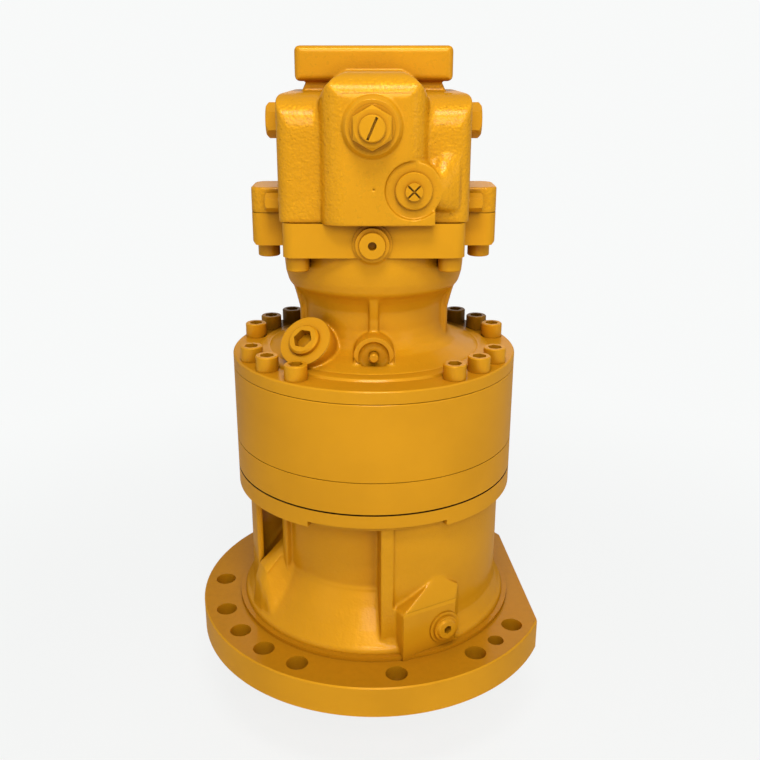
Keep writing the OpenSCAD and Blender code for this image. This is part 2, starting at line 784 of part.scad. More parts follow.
module motor_housing() {
    color(paint)
    difference() {
        union() {
            rotate_extrude()
                polygon(housing_profile());
            translate([0, 0, z_plate0])
                linear_extrude(plate_t)
                    plate_outline(plate_w, plate_depth);
            front_arch();
            waist_fins();
            at_filler()
                translate([0, 0, -filler_boss_l])
                    cylinder(d = filler_boss_d, h = filler_boss_l);
            // Boss of the case drain port at the back
            bar_y([0, bowl_d / 2 - 12, z_joint - 56], 2 * case_drain_r, drain_port_out + 12);
            // Boss of the brake port
            bar_y([plate_plug_x, -plate_front - 2, plate_plug_z], plate_plug_d / 2 + 3, 12);
        }
        front_arch_recess();
        // Lower outer edges of the ears
        for (side = [0, 180])
            rotate([0, 0, side])
                translate([ear_span / 2, 0, z_plate0])
                    rotate([0, 45, 0])
                        cube([ear_chamfer * sqrt(2), 2 * ear_w, ear_chamfer * sqrt(2)], center = true);
        // Recess over the first planet stage
        translate([0, 0, z_ring1 - cut])
            cylinder(r = ring_tip_r - 1, h = z_recess - z_ring1 + cut);
        // Shaft seal, lower bearing and swash space
        translate([0, 0, z_recess - cut])
            cylinder(d = seal_od, h = z_shaft_brg - z_recess + 2 * cut);
        translate([0, 0, z_shaft_brg])
            cylinder(d = shaft_brg_od, h = shaft_brg_w + 4);
        translate([0, 0, z_cavity])
            cylinder(r = cavity_r, h = z_stack - z_cavity + cut);
        // Brake space with grooves for the separator lugs
        translate([0, 0, z_stack])
            cylinder(r = stack_r, h = z_joint - z_stack);
        for (k = [0 : lug_count - 1])
            rotate([0, 0, 360 * k / lug_count])
                translate([0, -lug_w / 2 - body_gap, z_stack])
                    cube([stack_lug_r + body_gap, lug_w + 2 * body_gap, z_piston_bore - z_stack + cut]);
        translate([0, 0, z_piston_bore])
            cylinder(r = piston_bore_r, h = z_joint - z_piston_bore + cut);
        // Groove of the joint's O-ring
        ring(oring_r + oring_wire, oring_r - oring_wire, z_joint - 2 * oring_wire - 0.1, z_joint + cut);
        screw_holes(z_ring1, z_cover);
        dowel_holes(z_ring1);
        for (p = block_screw_at)
            translate([p[0], p[1], z_plate0 - cut])
                cylinder(d = block_screw_d + 2 * screw_clear, h = plate_t + 2 * cut);
        // Brake release port, from the plug to the piston bore
        bar_y([plate_plug_x, -plate_front - 2 - cut, plate_plug_z], plate_thread_r, plate_bore_l + cut);
        bar_y([plate_plug_x, -plate_front, plate_plug_z], 2.5, plate_front - piston_bore_r + 6);
        // Filler hole, down into the gear space
        at_filler()
            translate([0, 0, -filler_bore_l])
                cylinder(r = filler_thread_r, h = filler_bore_l + cut);
        at_filler()
            translate([0, 0, -60])
                cylinder(r = 6, h = 60);
        bar_y([0, -arch_front, arch_z], stub_r - 1, 18);
        // Case drain port at the back
        bar_y([0, bowl_d / 2 + drain_port_out - drain_port_l, z_joint - 56],
            case_drain_r, drain_port_l + cut);
        bar_y([0, stack_r - 3, z_joint - 56], case_drain_r - 4, 20);
    }
}

plate_thread_r = 10;
plate_wall = 5.5;
plate_bore_l = plate_front + 2 - piston_bore_r - plate_wall;
seal_od = 62;
seal_w = 14;
oring_r = 87.2;
oring_wire = 1.5;
stub_r = 4.8;
case_drain_r = 9;
drain_port_out = 6;
drain_port_l = 14;

// Valve block
cap_x = -1.5;
bulge_front = block_depth / 2 + bulge_out;
bridge_front = 14;
bridge_back = block_depth / 2 + 13;
z_bridge = z_block + 10;
port_x = 38;
port_z = z_bridge - 3;
port_l = 42;
port_bolt_x = 26.2;
port_bolt_z = 52.4;
port_bolt_r = 5;
port_pad_h = 75;
cross_x = 38.7;
cross_above = 34;
cross_z = z_joint + cross_above;
cross_boss_d = 56;
relief_bore_r = 12;
relief_bore_l = 52;
cap_bore_r = 14;
cap_bore_l = 60;
cross_bore_r = 9;
cross_bore_l = 30;
top_brg_r = 34;
top_brg_h = 18;
side_plug_at = [0, -41, z_joint + 13];
side_plug_r = 7;
side_bore_l = 24;
makeup_r = 14;
makeup_z = z_joint + 40;
makeup_l = 34;
kidney_w = 11;
kidney_h = 22;
passage_r = 8;
passage_x = 42;
passage_y = 10;
block_ear_h = 27;
shoulder_r = 34;
bulge_roll_r = 26;
bulge_side_r = 23;
foot_out = 7;
neck_in = 12;
cap_boss_out = 7;

// Outline of the bulge seen from the front
module bulge_front_view() {
    h = z_bulge - z_joint;
    w = bulge_w / 2;
    polygon([[-w, 0], [w, 0], [w, h - 26], [w - 5, h - 15], [w - 14, h - 6], [w - 25, h],
        [-w + 25, h], [-w + 14, h - 6], [-w + 5, h - 15], [-w, h - 26]]);
}

// Seen from above, the bulge rolls off widely at both sides
module bulge_plan() {
    w = bulge_w / 2;
    for (side = [-1, 1])
        translate([side * (w - bulge_side_r), bulge_side_r - bulge_front])
            circle(r = bulge_side_r);
    translate([bulge_side_r - w, -bulge_front])
        square([2 * (w - bulge_side_r), bulge_front]);
    translate([-w, bulge_side_r - bulge_front])
        square([2 * w, bulge_front - bulge_side_r]);
}

// Foot of the bulge below the cross-slotted plug, square at its right end
module bulge_foot() {
    translate([0, -bulge_front + 0.5, z_joint])
        cube([bulge_w / 2 + foot_out, bulge_front / 2, cross_boss_d / 4]);
}

module block_body() {
    // Main casting: its top rolls back from the front, and its other edges are rounded
    difference() {
        translate([0, 0, z_joint])
            linear_extrude(block_h)
                round_rect(block_w, block_depth, 14);
        translate([0, -block_depth / 2, z_block])
            round_edge(shoulder_r, 2 * block_w);
        for (side = [90, -90])
            rotate([0, 0, side])
                translate([0, -block_w / 2, z_block])
                    round_edge(7, 2 * block_depth);
    }
    // Ears over the plate's ears
    translate([0, 0, z_joint])
        linear_extrude(block_ear_h)
            round_rect(ear_span, ear_w, 12);
    // Bulge
    difference() {
        intersection() {
            translate([0, 0, z_joint])
                rotate([90, 0, 0])
                    linear_extrude(bulge_front + cut)
                        bulge_front_view();
            translate([0, 0, z_joint - cut])
                linear_extrude(bulge_h + 2 * cut)
                    bulge_plan();
        }
        translate([0, -bulge_front, z_bulge])
            round_edge(bulge_roll_r, 2 * bulge_w);
    }
    bulge_foot();
    // Port bridge and its pad at the back
    port_bridge();
    bridge_neck();
    translate([neck_in - bridge_w / 2, 40, z_bridge + bridge_h - port_pad_h])
        cube([bridge_w - 2 * neck_in, bridge_back - 40, port_pad_h - 6]);
    // Front bosses
    translate([cap_x, -bulge_front + 20, z_valve])
        rotate([90, 0, 0]) {
            cylinder(d = cap_boss_d, h = 22);
            translate([0, 0, 22])
                cylinder(d1 = cap_boss_d, d2 = cap_boss_d - 7, h = cap_boss_out - 2);
        }
    translate([cross_x, -bulge_front + 24, cross_z])
        rotate([90, 0, 0])
            cylinder(d = cross_boss_d, h = 21);
}

// The neck under the bridge widens down to the block
module bridge_neck() {
    top = bridge_w / 2 - neck_in;
    foot = top + 5.5;
    translate([0, bridge_front + 46, 0])
        rotate([90, 0, 0])
            linear_extrude(2 * bridge_front + 38)
                polygon([[-foot, z_block - 20], [foot, z_block - 20], [foot, z_block], [top, z_bridge + cut],
                    [-top, z_bridge + cut], [-foot, z_block]]);
}

// The bridge is a bar with all its edges rounded
bridge_edge_r = 6;

module port_bridge() {
    depth = bridge_front + bridge_back;
    translate([-bridge_w / 2, -bridge_front, z_bridge])
        intersection() {
            rotate([90, 0, 90])
                linear_extrude(bridge_w)
                    translate([depth / 2, bridge_h / 2])
                        round_rect(depth, bridge_h, bridge_edge_r);
            linear_extrude(bridge_h)
                translate([bridge_w / 2, depth / 2])
                    round_rect(bridge_w, depth, bridge_edge_r + 1);
            translate([bridge_w / 2, depth, bridge_h / 2])
                rotate([90, 0, 0])
                    linear_extrude(depth)
                        round_rect(bridge_w, bridge_h, bridge_edge_r);
        }
}

// Cuts a long edge round; the edge runs along X at the origin, and the solid lies behind and below it
module round_edge(r, length) {
    rotate([90, 0, 90])
        translate([0, 0, -length / 2])
            linear_extrude(length)
                difference() {
                    translate([-cut, -r])
                        square([r + cut, r + cut]);
                    translate([r, -r])
                        circle(r = r);
                }
}

module block_bores() {
    for (s = [-1, 1])
        translate([s * (block_w / 2 + cut), 0, z_valve])
            rotate([0, -s * 90, 0])
                cylinder(r = relief_bore_r, h = relief_bore_l + cut);
    bar_y([cap_x, -bulge_front - cap_boss_out - cut, z_valve], cap_bore_r, cap_bore_l + cut);
    bar_y([cross_x, -bulge_front, cross_z], cross_bore_r, cross_bore_l);
    // Sunk seat round the cross-slotted plug
    bar_y([cross_x, -bulge_front - cut, cross_z], cross_boss_d / 2, 3 + cut);
    bar_y([0, -bulge_front - cut, z_joint + 35], 1.2, 4);
    // Main ports with their flange screw holes
    for (s = [-1, 1]) {
        translate([s * port_x, bridge_back + cut, port_z])
            rotate([90, 0, 0])
                cylinder(d = port_d, h = port_l + cut);
        for (sx = [-1, 1], sz = [-1, 1])
            translate([s * port_x + sx * port_bolt_x / 2, bridge_back + cut, port_z + sz * port_bolt_z / 2])
                rotate([90, 0, 0])
                    cylinder(r = port_bolt_r, h = 22 + cut);
    }
    // Make-up port at the back
    translate([0, block_depth / 2 + cut, makeup_z])
        rotate([90, 0, 0])
            cylinder(r = makeup_r, h = makeup_l + cut);
    // Side gauge ports
    for (s = [-1, 1])
        translate([s * (block_w / 2 + cut), side_plug_at[1], side_plug_at[2]])
            rotate([0, -s * 90, 0])
                cylinder(r = side_plug_r, h = side_bore_l + cut);
    // Bearing seat, kidney ports and the screws' threads
    translate([0, 0, z_joint - cut])
        cylinder(r = top_brg_r, h = top_brg_h + cut);
    for (s = [0, 180])
        rotate([0, 0, s - 55])
            rotate_extrude(angle = 110)
                translate([top_brg_r + 3, z_joint - cut])
                    square([kidney_w, kidney_h + cut]);
    // Passages from the kidney ports up past the side valves to the main ports
    for (s = [-1, 1]) {
        translate([s * passage_x, passage_y, z_joint + kidney_h - 2])
            cylinder(r = passage_r, h = port_z - z_joint - kidney_h + 2);
        bar_y([s * port_x, passage_y, port_z], passage_r, bridge_back - port_l - passage_y + cut);
    }
    for (p = block_screw_at)
        translate([p[0], p[1], z_joint - cut])
            cylinder(d = block_screw_d + 2 * thread_fit, h = block_thread_l + cut);
}

block_thread_l = 22;

module valve_block() {
    color(paint)
    difference() {
        block_body();
        block_bores();
    }
}

module cover_screws() {
    color(paint)
    at_angles(cover_screw_angles, cover_screw_pcd / 2, z_cover)
        socket_screw(cover_screw_d, z_cover - z_case + thread_l - 1);
}

module block_screws() {
    color(paint)
    for (p = block_screw_at)
        translate([p[0], p[1], z_plate0])
            mirror([0, 0, 1])
                socket_screw(block_screw_d, plate_t + block_thread_l - 2);
}

module joint_dowels() {
    color(steel)
    for (z = [z_case, z_ring0, z_ring1])
        at_angles(dowel_angles, cover_screw_pcd / 2, z - dowel_in + 1)
            cylinder(r = dowel_r, h = 2 * dowel_in - 2);
}

// A relief cartridge that points along +X, with its seat at x = 0
module relief_cartridge() {
    color(paint)
    rotate([0, 90, 0])
        difference() {
            union() {
                cylinder(r = relief_af * 0.52, h = 3);
                hex_head(relief_af, relief_out);
                translate([0, 0, -20])
                    cylinder(r = relief_bore_r - thread_fit, h = 20);
                translate([0, 0, -relief_bore_l + 4])
                    cylinder(r = relief_bore_r * 0.72, h = relief_bore_l - 6);
            }
            translate([0, 0, relief_out - 5])
                hex_prism(relief_af * 0.28, 6);
        }
}

module relief_valve_right() {
    translate([block_w / 2, 0, z_valve])
        relief_cartridge();
}

module relief_valve_left() {
    translate([-block_w / 2, 0, z_valve])
        rotate([0, 0, 180])
            relief_cartridge();
}

cap_face = bulge_front + cap_boss_out;

module front_valve_cap() {
    color(paint)
    translate([cap_x, -cap_face, z_valve])
        rotate([90, 0, 0])
            difference() {
                union() {
                    cylinder(d = cap_af * 1.18, h = 3);
                    rotate([0, 0, 30])
                        hex_head(cap_af, 13);
                    translate([0, 0, -22])
                        cylinder(r = cap_bore_r - thread_fit, h = 22.5);
                    translate([0, 0, -cap_bore_l + 4])
                        cylinder(r = cap_bore_r * 0.7, h = cap_bore_l - 6);
                }
                translate([0, 0, -10])
                    cylinder(r = adjuster_r + thread_fit, h = 30);
            }
}

adjuster_r = 9;
adjuster_slot = 2.4;

module front_adjuster() {
    color(paint)
    translate([cap_x, -cap_face, z_valve])
        rotate([90, 0, 0])
            difference() {
                union() {
                    translate([0, 0, -9])
                        cylinder(r = adjuster_r, h = 22);
                    translate([0, 0, 13])
                        cylinder(r1 = 12.5, r2 = 12.5, h = 4.5);
                    translate([0, 0, 17.5])
                        cylinder(r1 = 12.5, r2 = 11.5, h = 1);
                }
                rotate([0, 0, 66])
                    translate([-11, -adjuster_slot / 2, 16])
                        cube([22, adjuster_slot, 4]);
            }
}

module cross_plug() {
    color(paint)
    translate([cross_x, -bulge_front + 3, cross_z])
        rotate([90, 0, 0])
            difference() {
                union() {
                    cylinder(d = cross_plug_d, h = 4);
                    translate([0, 0, 4])
                        cylinder(d1 = cross_plug_d, d2 = cross_plug_d - 2, h = 1);
                    cylinder(r = 8.5, h = 11);
                    translate([0, 0, -20])
                        cylinder(r = cross_bore_r - thread_fit, h = 21);
                }
                for (a = [45, 135])
                    rotate([0, 0, a])
                        translate([-9, -0.9, 8.5])
                            cube([18, 1.8, 4]);
            }
}

module brake_port_plug() {
    color(paint)
    translate([plate_plug_x, -plate_front - 2, plate_plug_z])
        rotate([90, 0, 0])
            difference() {
                union() {
                    cylinder(d = plate_plug_d, h = 6);
                    translate([0, 0, 6])
                        cylinder(d1 = plate_plug_d * 0.8, d2 = plate_plug_d * 0.76, h = 5);
                    translate([0, 0, -plate_bore_l + 1])
                        cylinder(r = plate_thread_r - thread_fit, h = plate_bore_l);
                }
                translate([0, 0, 2])
                    cylinder(r = 4.3, h = 12);
            }
}

module filler_plug() {
    color(paint)
    at_filler()
        difference() {
            union() {
                cylinder(d = filler_plug_d, h = 4);
                translate([0, 0, 4])
                    cylinder(d1 = filler_plug_d, d2 = filler_plug_d - 4, h = 2);
                translate([0, 0, -filler_bore_l + 2])
                    cylinder(r = filler_thread_r - thread_fit, h = filler_bore_l);
            }
            translate([0, 0, -4])
                rotate([0, 0, 30])
                    hex_prism(filler_plug_d * 0.56, 12);
        }
}

module breather_stub() {
    color(paint)
    translate([0, -arch_front + arch_deep, arch_z])
        rotate([90, 0, 0])
            union() {
                cylinder(r = stub_r, h = 9);
                translate([0, 0, 9])
                    cylinder(r1 = stub_r, r2 = stub_r - 1, h = 1);
                translate([0, 0, -10])
                    cylinder(r = stub_r - 1 - thread_fit, h = 11);
            }
}

module drain_plug() {
    color(paint)
    rotate([0, 0, drain_angle])
        translate([drain_face_r + drain_pad_t, 0, drain_z])
            rotate([0, 90, 0])
                difference() {
                    union() {
                        cylinder(d = drain_plug_d, h = 3);
                        translate([0, 0, 3])
                            cylinder(d1 = drain_plug_d - 5, d2 = drain_plug_d - 8, h = 3);
                        translate([0, 0, -drain_bore_l + 4])
                            cylinder(r = drain_thread_r - thread_fit, h = drain_bore_l - 3);
                    }
                    translate([0, 0, -3])
                        hex_prism(drain_plug_d * 0.3, 12);
                }
}

module side_plugs() {
    color(paint)
    for (s = [-1, 1])
        translate([s * block_w / 2, side_plug_at[1], side_plug_at[2]])
            rotate([0, s * 90, 0])
                union() {
                    cylinder(r = side_plug_r + 2.5, h = 4);
                    translate([0, 0, 4])
                        hex_head(side_plug_r * 2.4, 2 * side_plug_r);
                    translate([0, 0, -side_bore_l + 4])
                        cylinder(r = side_plug_r - thread_fit, h = side_bore_l - 3);
                }
}

// Lip seal: metal case outside, lip inside, as one turned section
module lip_seal(r_out, r_shaft, z0, z1) {
    mid = (z0 + z1) / 2;
    rotate_extrude()
        polygon([[r_out, z0], [r_out, z1], [r_out - 4, z1], [r_out - 4, z0 + 3.5], [r_shaft + 6, z0 + 3.5],
            [r_shaft + 4, z1 - 1], [r_shaft + body_gap, mid + 1.5], [r_shaft + body_gap, mid - 0.5],
            [r_shaft + 3, z0]]);
}

module output_seal() {
    color(rubber)
    lip_seal(low_brg_od / 2, shaft_land_r, z_low_brg - seal_w - 1, z_low_brg - 1);
}

module shaft_seal() {
    color(rubber)
    lip_seal(seal_od / 2, shaft_brg_d / 2 - 2, z_recess + 0.5, z_shaft_brg - 0.5);
}

module block_oring() {
    color(rubber)
    translate([0, 0, z_joint - oring_wire])
        rotate_extrude()
            translate([oring_r, 0])
                circle(r = oring_wire - 0.05, $fn = 24);
}

// Cam plate: its top face is tilted about X through the point on the axis
cam_r = cavity_r - 3;
cam_mid = 20;
z_cam_face = z_cavity + cam_mid;

module cam_plate() {
    color(steel)
    difference() {
        translate([0, 0, z_cavity])
            cylinder(r = cam_r, h = 2 * cam_mid);
        translate([0, 0, z_cavity - cut])
            cylinder(r = shaft_brg_d / 2 + 4, h = 2 * cam_mid + 2 * cut);
        translate([0, 0, z_cam_face])
            rotate([cam_tilt, 0, 0])
                translate([-2 * cam_r, -2 * cam_r, 0])
                    cube([4 * cam_r, 4 * cam_r, 4 * cam_r]);
    }
}

// Rotating group of the motor.  All nine pistons are drawn pushed home in the barrel.
pistons_n = 9;
valve_plate_t = 7.6;
z_barrel1 = z_joint - valve_plate_t - body_gap;
z_barrel0 = z_barrel1 - barrel_l;
shoe_r = piston_d * 0.58;
shoe_reach = piston_pcd / 2 + shoe_r;
z_shoe = z_cam_face + shoe_reach * tan(cam_tilt) + 1;
shoe_t = 5;
piston_l = z_barrel1 - 12 - z_shoe - shoe_t - 3;
shaft_spline_teeth = 18;
shaft_spline_r = shaft_brg_d / 2 - 1;
barrel_spline_teeth = 24;
barrel_spline_r = barrel_d / 2 + 3;

module valve_plate() {
    color(bronze)
    difference() {
        ring(barrel_d / 2 + 4, shaft_brg_d / 2, z_joint - valve_plate_t, z_joint - 0.1);
        for (s = [0, 180])
            rotate([0, 0, s - 60])
                rotate_extrude(angle = 120)
                    translate([piston_pcd / 2 - 5, z_joint - valve_plate_t - cut])
                        square([10, valve_plate_t + 2 * cut]);
    }
}

module at_pistons() {
    at_angles([for (k = [0 : pistons_n - 1]) 360 * k / pistons_n], piston_pcd / 2, 0)
        children();
}

module cylinder_block() {
    color(dark_steel)
    difference() {
        union() {
            translate([0, 0, z_barrel0])
                cylinder(d = barrel_d, h = barrel_l);
            translate([0, 0, z_stack - 4])
                linear_extrude(stack_l + 10)
                    spline(barrel_spline_teeth, barrel_d / 2 - 0.5, barrel_spline_r, 0);
        }
        translate([0, 0, z_barrel0 - cut])
            linear_extrude(barrel_l + 2 * cut)
                spline(shaft_spline_teeth, shaft_spline_r - 2, shaft_spline_r, pin_fit);
        at_pistons()
            translate([0, 0, z_barrel0 - cut])
                cylinder(d = piston_d + 2 * pin_fit, h = barrel_l - 8);
        at_pistons()
            translate([0, 0, z_barrel1 - 10])
                cylinder(r = 4, h = 12);
        // Room for the centre spring round the shaft
        translate([0, 0, z_barrel0 + 12])
            cylinder(r = shaft_spline_r + 3, h = 26);
    }
}

module pistons() {
    color(steel)
    at_pistons()
        union() {
            difference() {
                translate([0, 0, z_shoe + shoe_t + 3])
                    cylinder(d = piston_d, h = piston_l);
                translate([0, 0, z_shoe + shoe_t + 16])
                    cylinder(d = piston_d - 6, h = piston_l);
            }
            translate([0, 0, z_shoe])
                cylinder(r = shoe_r, h = shoe_t * 0.6);
            translate([0, 0, z_shoe])
                cylinder(r = shoe_r * 0.66, h = shoe_t + 3.5);
        }
}

module retainer_plate() {
    color(dark_steel)
    difference() {
        ring(shoe_reach + 4, shaft_brg_d / 2 + 1.5, z_shoe + shoe_t * 0.6 + 0.2, z_shoe + shoe_t * 0.6 + 3.2);
        at_pistons()
            translate([0, 0, z_shoe - cut])
                cylinder(r = shoe_r * 0.66 + body_gap, h = 20);
    }
}

// A round wire wound into a coil, closed at both ends
function coil_ring(r, wire, angle, z, sides) =
    [for (i = [0 : sides - 1]) let (b = 360 * i / sides)
        [(r + wire * cos(b)) * cos(angle), (r + wire * cos(b)) * sin(angle), z + wire * sin(b)]];

module coil(r, wire, height, turns, steps, sides) {
    n = turns * steps;
    rise = (height - 2 * wire) / n;
    points = [for (k = [0 : n]) each coil_ring(r, wire, 360 * k / steps, wire + rise * k, sides)];
    walls = [for (k = [0 : n - 1], i = [0 : sides - 1])
        let (a = k * sides + i, b = k * sides + (i + 1) % sides)
        each [[a, a + sides, b + sides], [a, b + sides, b]]];
    polyhedron(
        points = points,
        faces = concat([[for (i = [0 : sides - 1]) i]], walls,
            [[for (i = [sides - 1 : -1 : 0]) n * sides + i]]),
        convexity = 10);
}

module centre_spring() {
    color(steel)
    translate([0, 0, z_barrel0 + 12.2])
        coil(shaft_spline_r + 1.5, 1, 25.6, 5, 24, 6);
}

// Brake: three friction discs between four separator plates, clamped by the piston
disc_gap = 0.1;
friction_n = 3;
stack_l = friction_n * (friction_t + 2 * disc_gap) + (friction_n + 1) * separator_t;
function separator_z(k) = z_stack + k * (separator_t + friction_t + 2 * disc_gap);
function friction_z(k) = separator_z(k) + separator_t + disc_gap;

module separator_plates() {
    color(steel)
    for (k = [0 : friction_n])
        translate([0, 0, separator_z(k)])
            linear_extrude(separator_t)
                difference() {
                    union() {
                        circle(r = stack_r - body_gap);
                        for (i = [0 : lug_count - 1])
                            rotate(360 * i / lug_count)
                                translate([0, -lug_w / 2])
                                    square([stack_lug_r - body_gap, lug_w]);
                    }
                    circle(r = barrel_spline_r + 2);
                }
}

module friction_discs() {
    color(bronze)
    for (k = [0 : friction_n - 1])
        translate([0, 0, friction_z(k)])
            linear_extrude(friction_t)
                difference() {
                    circle(r = stack_r - 3);
                    spline(barrel_spline_teeth, barrel_d / 2, barrel_spline_r, body_gap);
                }
}

z_brake = z_stack + stack_l + body_gap;
brake_h = 24;
spring_n = 8;
spring_angles = [for (k = [0 : spring_n - 1]) 360 * (k + 0.5) / spring_n];
spring_r = 4.6;
spring_wire = 1.2;
spring_at = 74;
spring_floor = 10;
spring_hole_r = spring_r + spring_wire + 0.7;

module brake_piston() {
    color(steel)
    difference() {
        union() {
            ring(stack_r - body_gap - 1, barrel_spline_r + 4, z_brake, z_brake + brake_h);
            ring(piston_bore_r - pin_fit, barrel_spline_r + 4, z_piston_bore + brake_step, z_brake + brake_h);
        }
        at_angles(spring_angles, spring_at, z_brake + spring_floor)
            cylinder(r = spring_hole_r, h = brake_h);
    }
}

brake_step = 2;

module brake_springs() {
    color(steel)
    at_angles(spring_angles, spring_at, z_brake + spring_floor)
        coil(spring_r, spring_wire, z_joint - z_brake - spring_floor, 4, 9, 6);
}

// Bearings
module lower_bearing_cup() {
    color(steel)
    upside_down(z_low_brg, low_brg_w)
        taper_cup(low_brg_bore, low_brg_od, low_brg_w);
}

module lower_bearing_cone() {
    color(steel)
    upside_down(z_low_brg, low_brg_w)
        taper_cone(low_brg_bore, low_brg_od, low_brg_w);
}

module lower_rollers() {
    color(steel)
    upside_down(z_low_brg, low_brg_w)
        taper_rollers(low_brg_bore, low_brg_od, low_brg_w, 22);
}

module upper_bearing_cup() {
    color(steel)
    translate([0, 0, z_up_brg])
        taper_cup(up_brg_bore, up_brg_od, up_brg_w);
}

module upper_bearing_cone() {
    color(steel)
    translate([0, 0, z_up_brg])
        taper_cone(up_brg_bore, up_brg_od, up_brg_w);
}

module upper_rollers() {
    color(steel)
    translate([0, 0, z_up_brg])
        taper_rollers(up_brg_bore, up_brg_od, up_brg_w, 22);
}

module motor_lower_cup() {
    color(steel)
    upside_down(z_shaft_brg, shaft_brg_w)
        taper_cup(shaft_brg_d, shaft_brg_od, shaft_brg_w);
}

module motor_lower_cone() {
    color(steel)
    upside_down(z_shaft_brg, shaft_brg_w)
        taper_cone(shaft_brg_d, shaft_brg_od, shaft_brg_w);
}

module motor_lower_rollers() {
    color(steel)
    upside_down(z_shaft_brg, shaft_brg_w)
        taper_rollers(shaft_brg_d, shaft_brg_od, shaft_brg_w, 16);
}

top_journal_r = 17;
needle_r = 4;
needle_n = 14;
z_needle = z_joint + 1;
needle_l = 14;

module motor_upper_cup() {
    color(steel)
    ring(top_brg_r, top_journal_r + 2 * needle_r + 2 * body_gap, z_needle - 0.5, z_needle + needle_l + 1);
}

module motor_upper_rollers() {
    color(steel)
    at_angles([for (k = [0 : needle_n - 1]) 360 * k / needle_n], top_journal_r + needle_r + body_gap, z_needle)
        cylinder(r = needle_r, h = needle_l, $fn = 32);
}

// Output shaft with the pinion cut on it, turned from one profile above the teeth
function shaft_profile() = let (r0 = shaft_land_r, r1 = low_brg_bore / 2, r2 = up_brg_bore / 2)
    [[0, z_pinion_top - 6], [r0 - 4, z_pinion_top - 6], [r0, z_pinion_top], [r0, z_low_brg - 0.5],
        [r1 + 3, z_low_brg - 0.5], [r1 + 3, z_low_brg], [r1, z_low_brg], [r1, z_low_brg + low_brg_w + 4],
        [r1 - 2, z_low_brg + low_brg_w + 8], [r1 - 2, z_up_brg - 4], [r1 - 2, z_up_brg], [r2, z_up_brg],
        [r2, z_nut], [r2 - 2, z_nut], [r2 - 2, z_nut + nut_t + 1], [out_spline_root_r - 1, z_nut + nut_t + 1],
        [out_spline_root_r - 1, z_c2_low + 1], [0, z_c2_low + 1]];

module pinion_shaft() {
    color(steel)
    union() {
        rotate_extrude()
            polygon(shaft_profile());
        translate([0, 0, z_pinion_top - pinion_face])
            gear(pinion_module, pinion_teeth, pinion_face);
        translate([0, 0, z_nut + nut_t + 1])
            linear_extrude(z_c2_plate - 1 - z_nut - nut_t - 1)
                spline(out_spline_teeth, out_spline_root_r, out_spline_tip_r, 0);
    }
}

module bearing_nut() {
    color(dark_steel)
    difference() {
        ring(up_brg_bore / 2 + 16, up_brg_bore / 2 - 2 + thread_fit, z_nut, z_nut + nut_t);
        for (k = [0 : 3])
            rotate([0, 0, 90 * k])
                translate([up_brg_bore / 2 + 10, -5, z_nut - cut])
                    cube([12, 10, nut_t + 2 * cut]);
    }
}

// Second stage
module at_planets(count, centre, place) {
    at_angles([for (k = [0 : count - 1]) place + 360 * k / count], centre, 0)
        children();
}

module carrier_2() {
    color(dark_steel)
    difference() {
        union() {
            translate([0, 0, z_c2_low])
                cylinder(r = carrier2_r, h = plate2_t);
            ring(carrier2_r, tip_r(gear_module, sun2_teeth) + 3, z_c2_top, z_c2_top + cap2_t);
            at_planets(planets2, carrier2_r - post2_r - 1, place2 + 180 / planets2)
                translate([0, 0, z_c2_plate - cut])
                    cylinder(r = post2_r, h = z_c2_top - z_c2_plate + 2 * cut);
        }
        translate([0, 0, z_c2_low - cut])
            linear_extrude(plate2_t + 2 * cut)
                spline(out_spline_teeth, out_spline_root_r, out_spline_tip_r, pin_fit);
        at_planets(planets2, centre2, place2)
            translate([0, 0, z_c2_low + 6])
                cylinder(d = pin2_d, h = 2 * stage2_face + plate2_t);
    }
}

module planet_pins_2() {
    color(steel)
    at_planets(planets2, centre2, place2)
        translate([0, 0, z_c2_low + 6])
            cylinder(d = pin2_d, h = z_c2_top + cap2_t - z_c2_low - 6);
}

module thrust_washers_2() {
    color(bronze)
    at_planets(planets2, centre2, place2) {
        ring(pin2_d * 0.75, pin2_d / 2 + pin_fit, z_c2_plate, z_c2_plate + washer_t);
        ring(pin2_d * 0.75, pin2_d / 2 + pin_fit, z_s2_top + washer_gap, z_c2_top);
    }
}

module planet(teeth, bore, face) {
    color(steel)
    difference() {
        gear(gear_module, teeth, face);
        translate([0, 0, -cut])
            cylinder(d = bore + 2 * pin_fit, h = face + 2 * cut);
    }
}

module planet_2(k) {
    place = place2 + 360 * k / planets2;
    rotate([0, 0, place])
        translate([centre2, 0, z_s2_low])
            rotate([0, 0, planet_turn(place, planet2_teeth) - place])
                planet(planet2_teeth, pin2_d, stage2_face);
}

// Second sun: teeth below, a stem and a spline into the first carrier
sun2_stem_r = 26;
sun2_spline_teeth = 16;

module sun_2() {
    color(steel)
    union() {
        translate([0, 0, z_s2_low])
            rotate([0, 0, sun_turn(place2, sun2_teeth, planet2_teeth)])
                gear(gear_module, sun2_teeth, stage2_face);
        translate([0, 0, z_s2_top - cut])
            cylinder(r = sun2_stem_r + 1, h = z_c1_low - z_s2_top + cut - 0.5);
        translate([0, 0, z_c1_low - 1])
            linear_extrude(plate1_t + 1)
                spline(sun2_spline_teeth, sun2_stem_r - 3, sun2_stem_r, 0);
    }
}

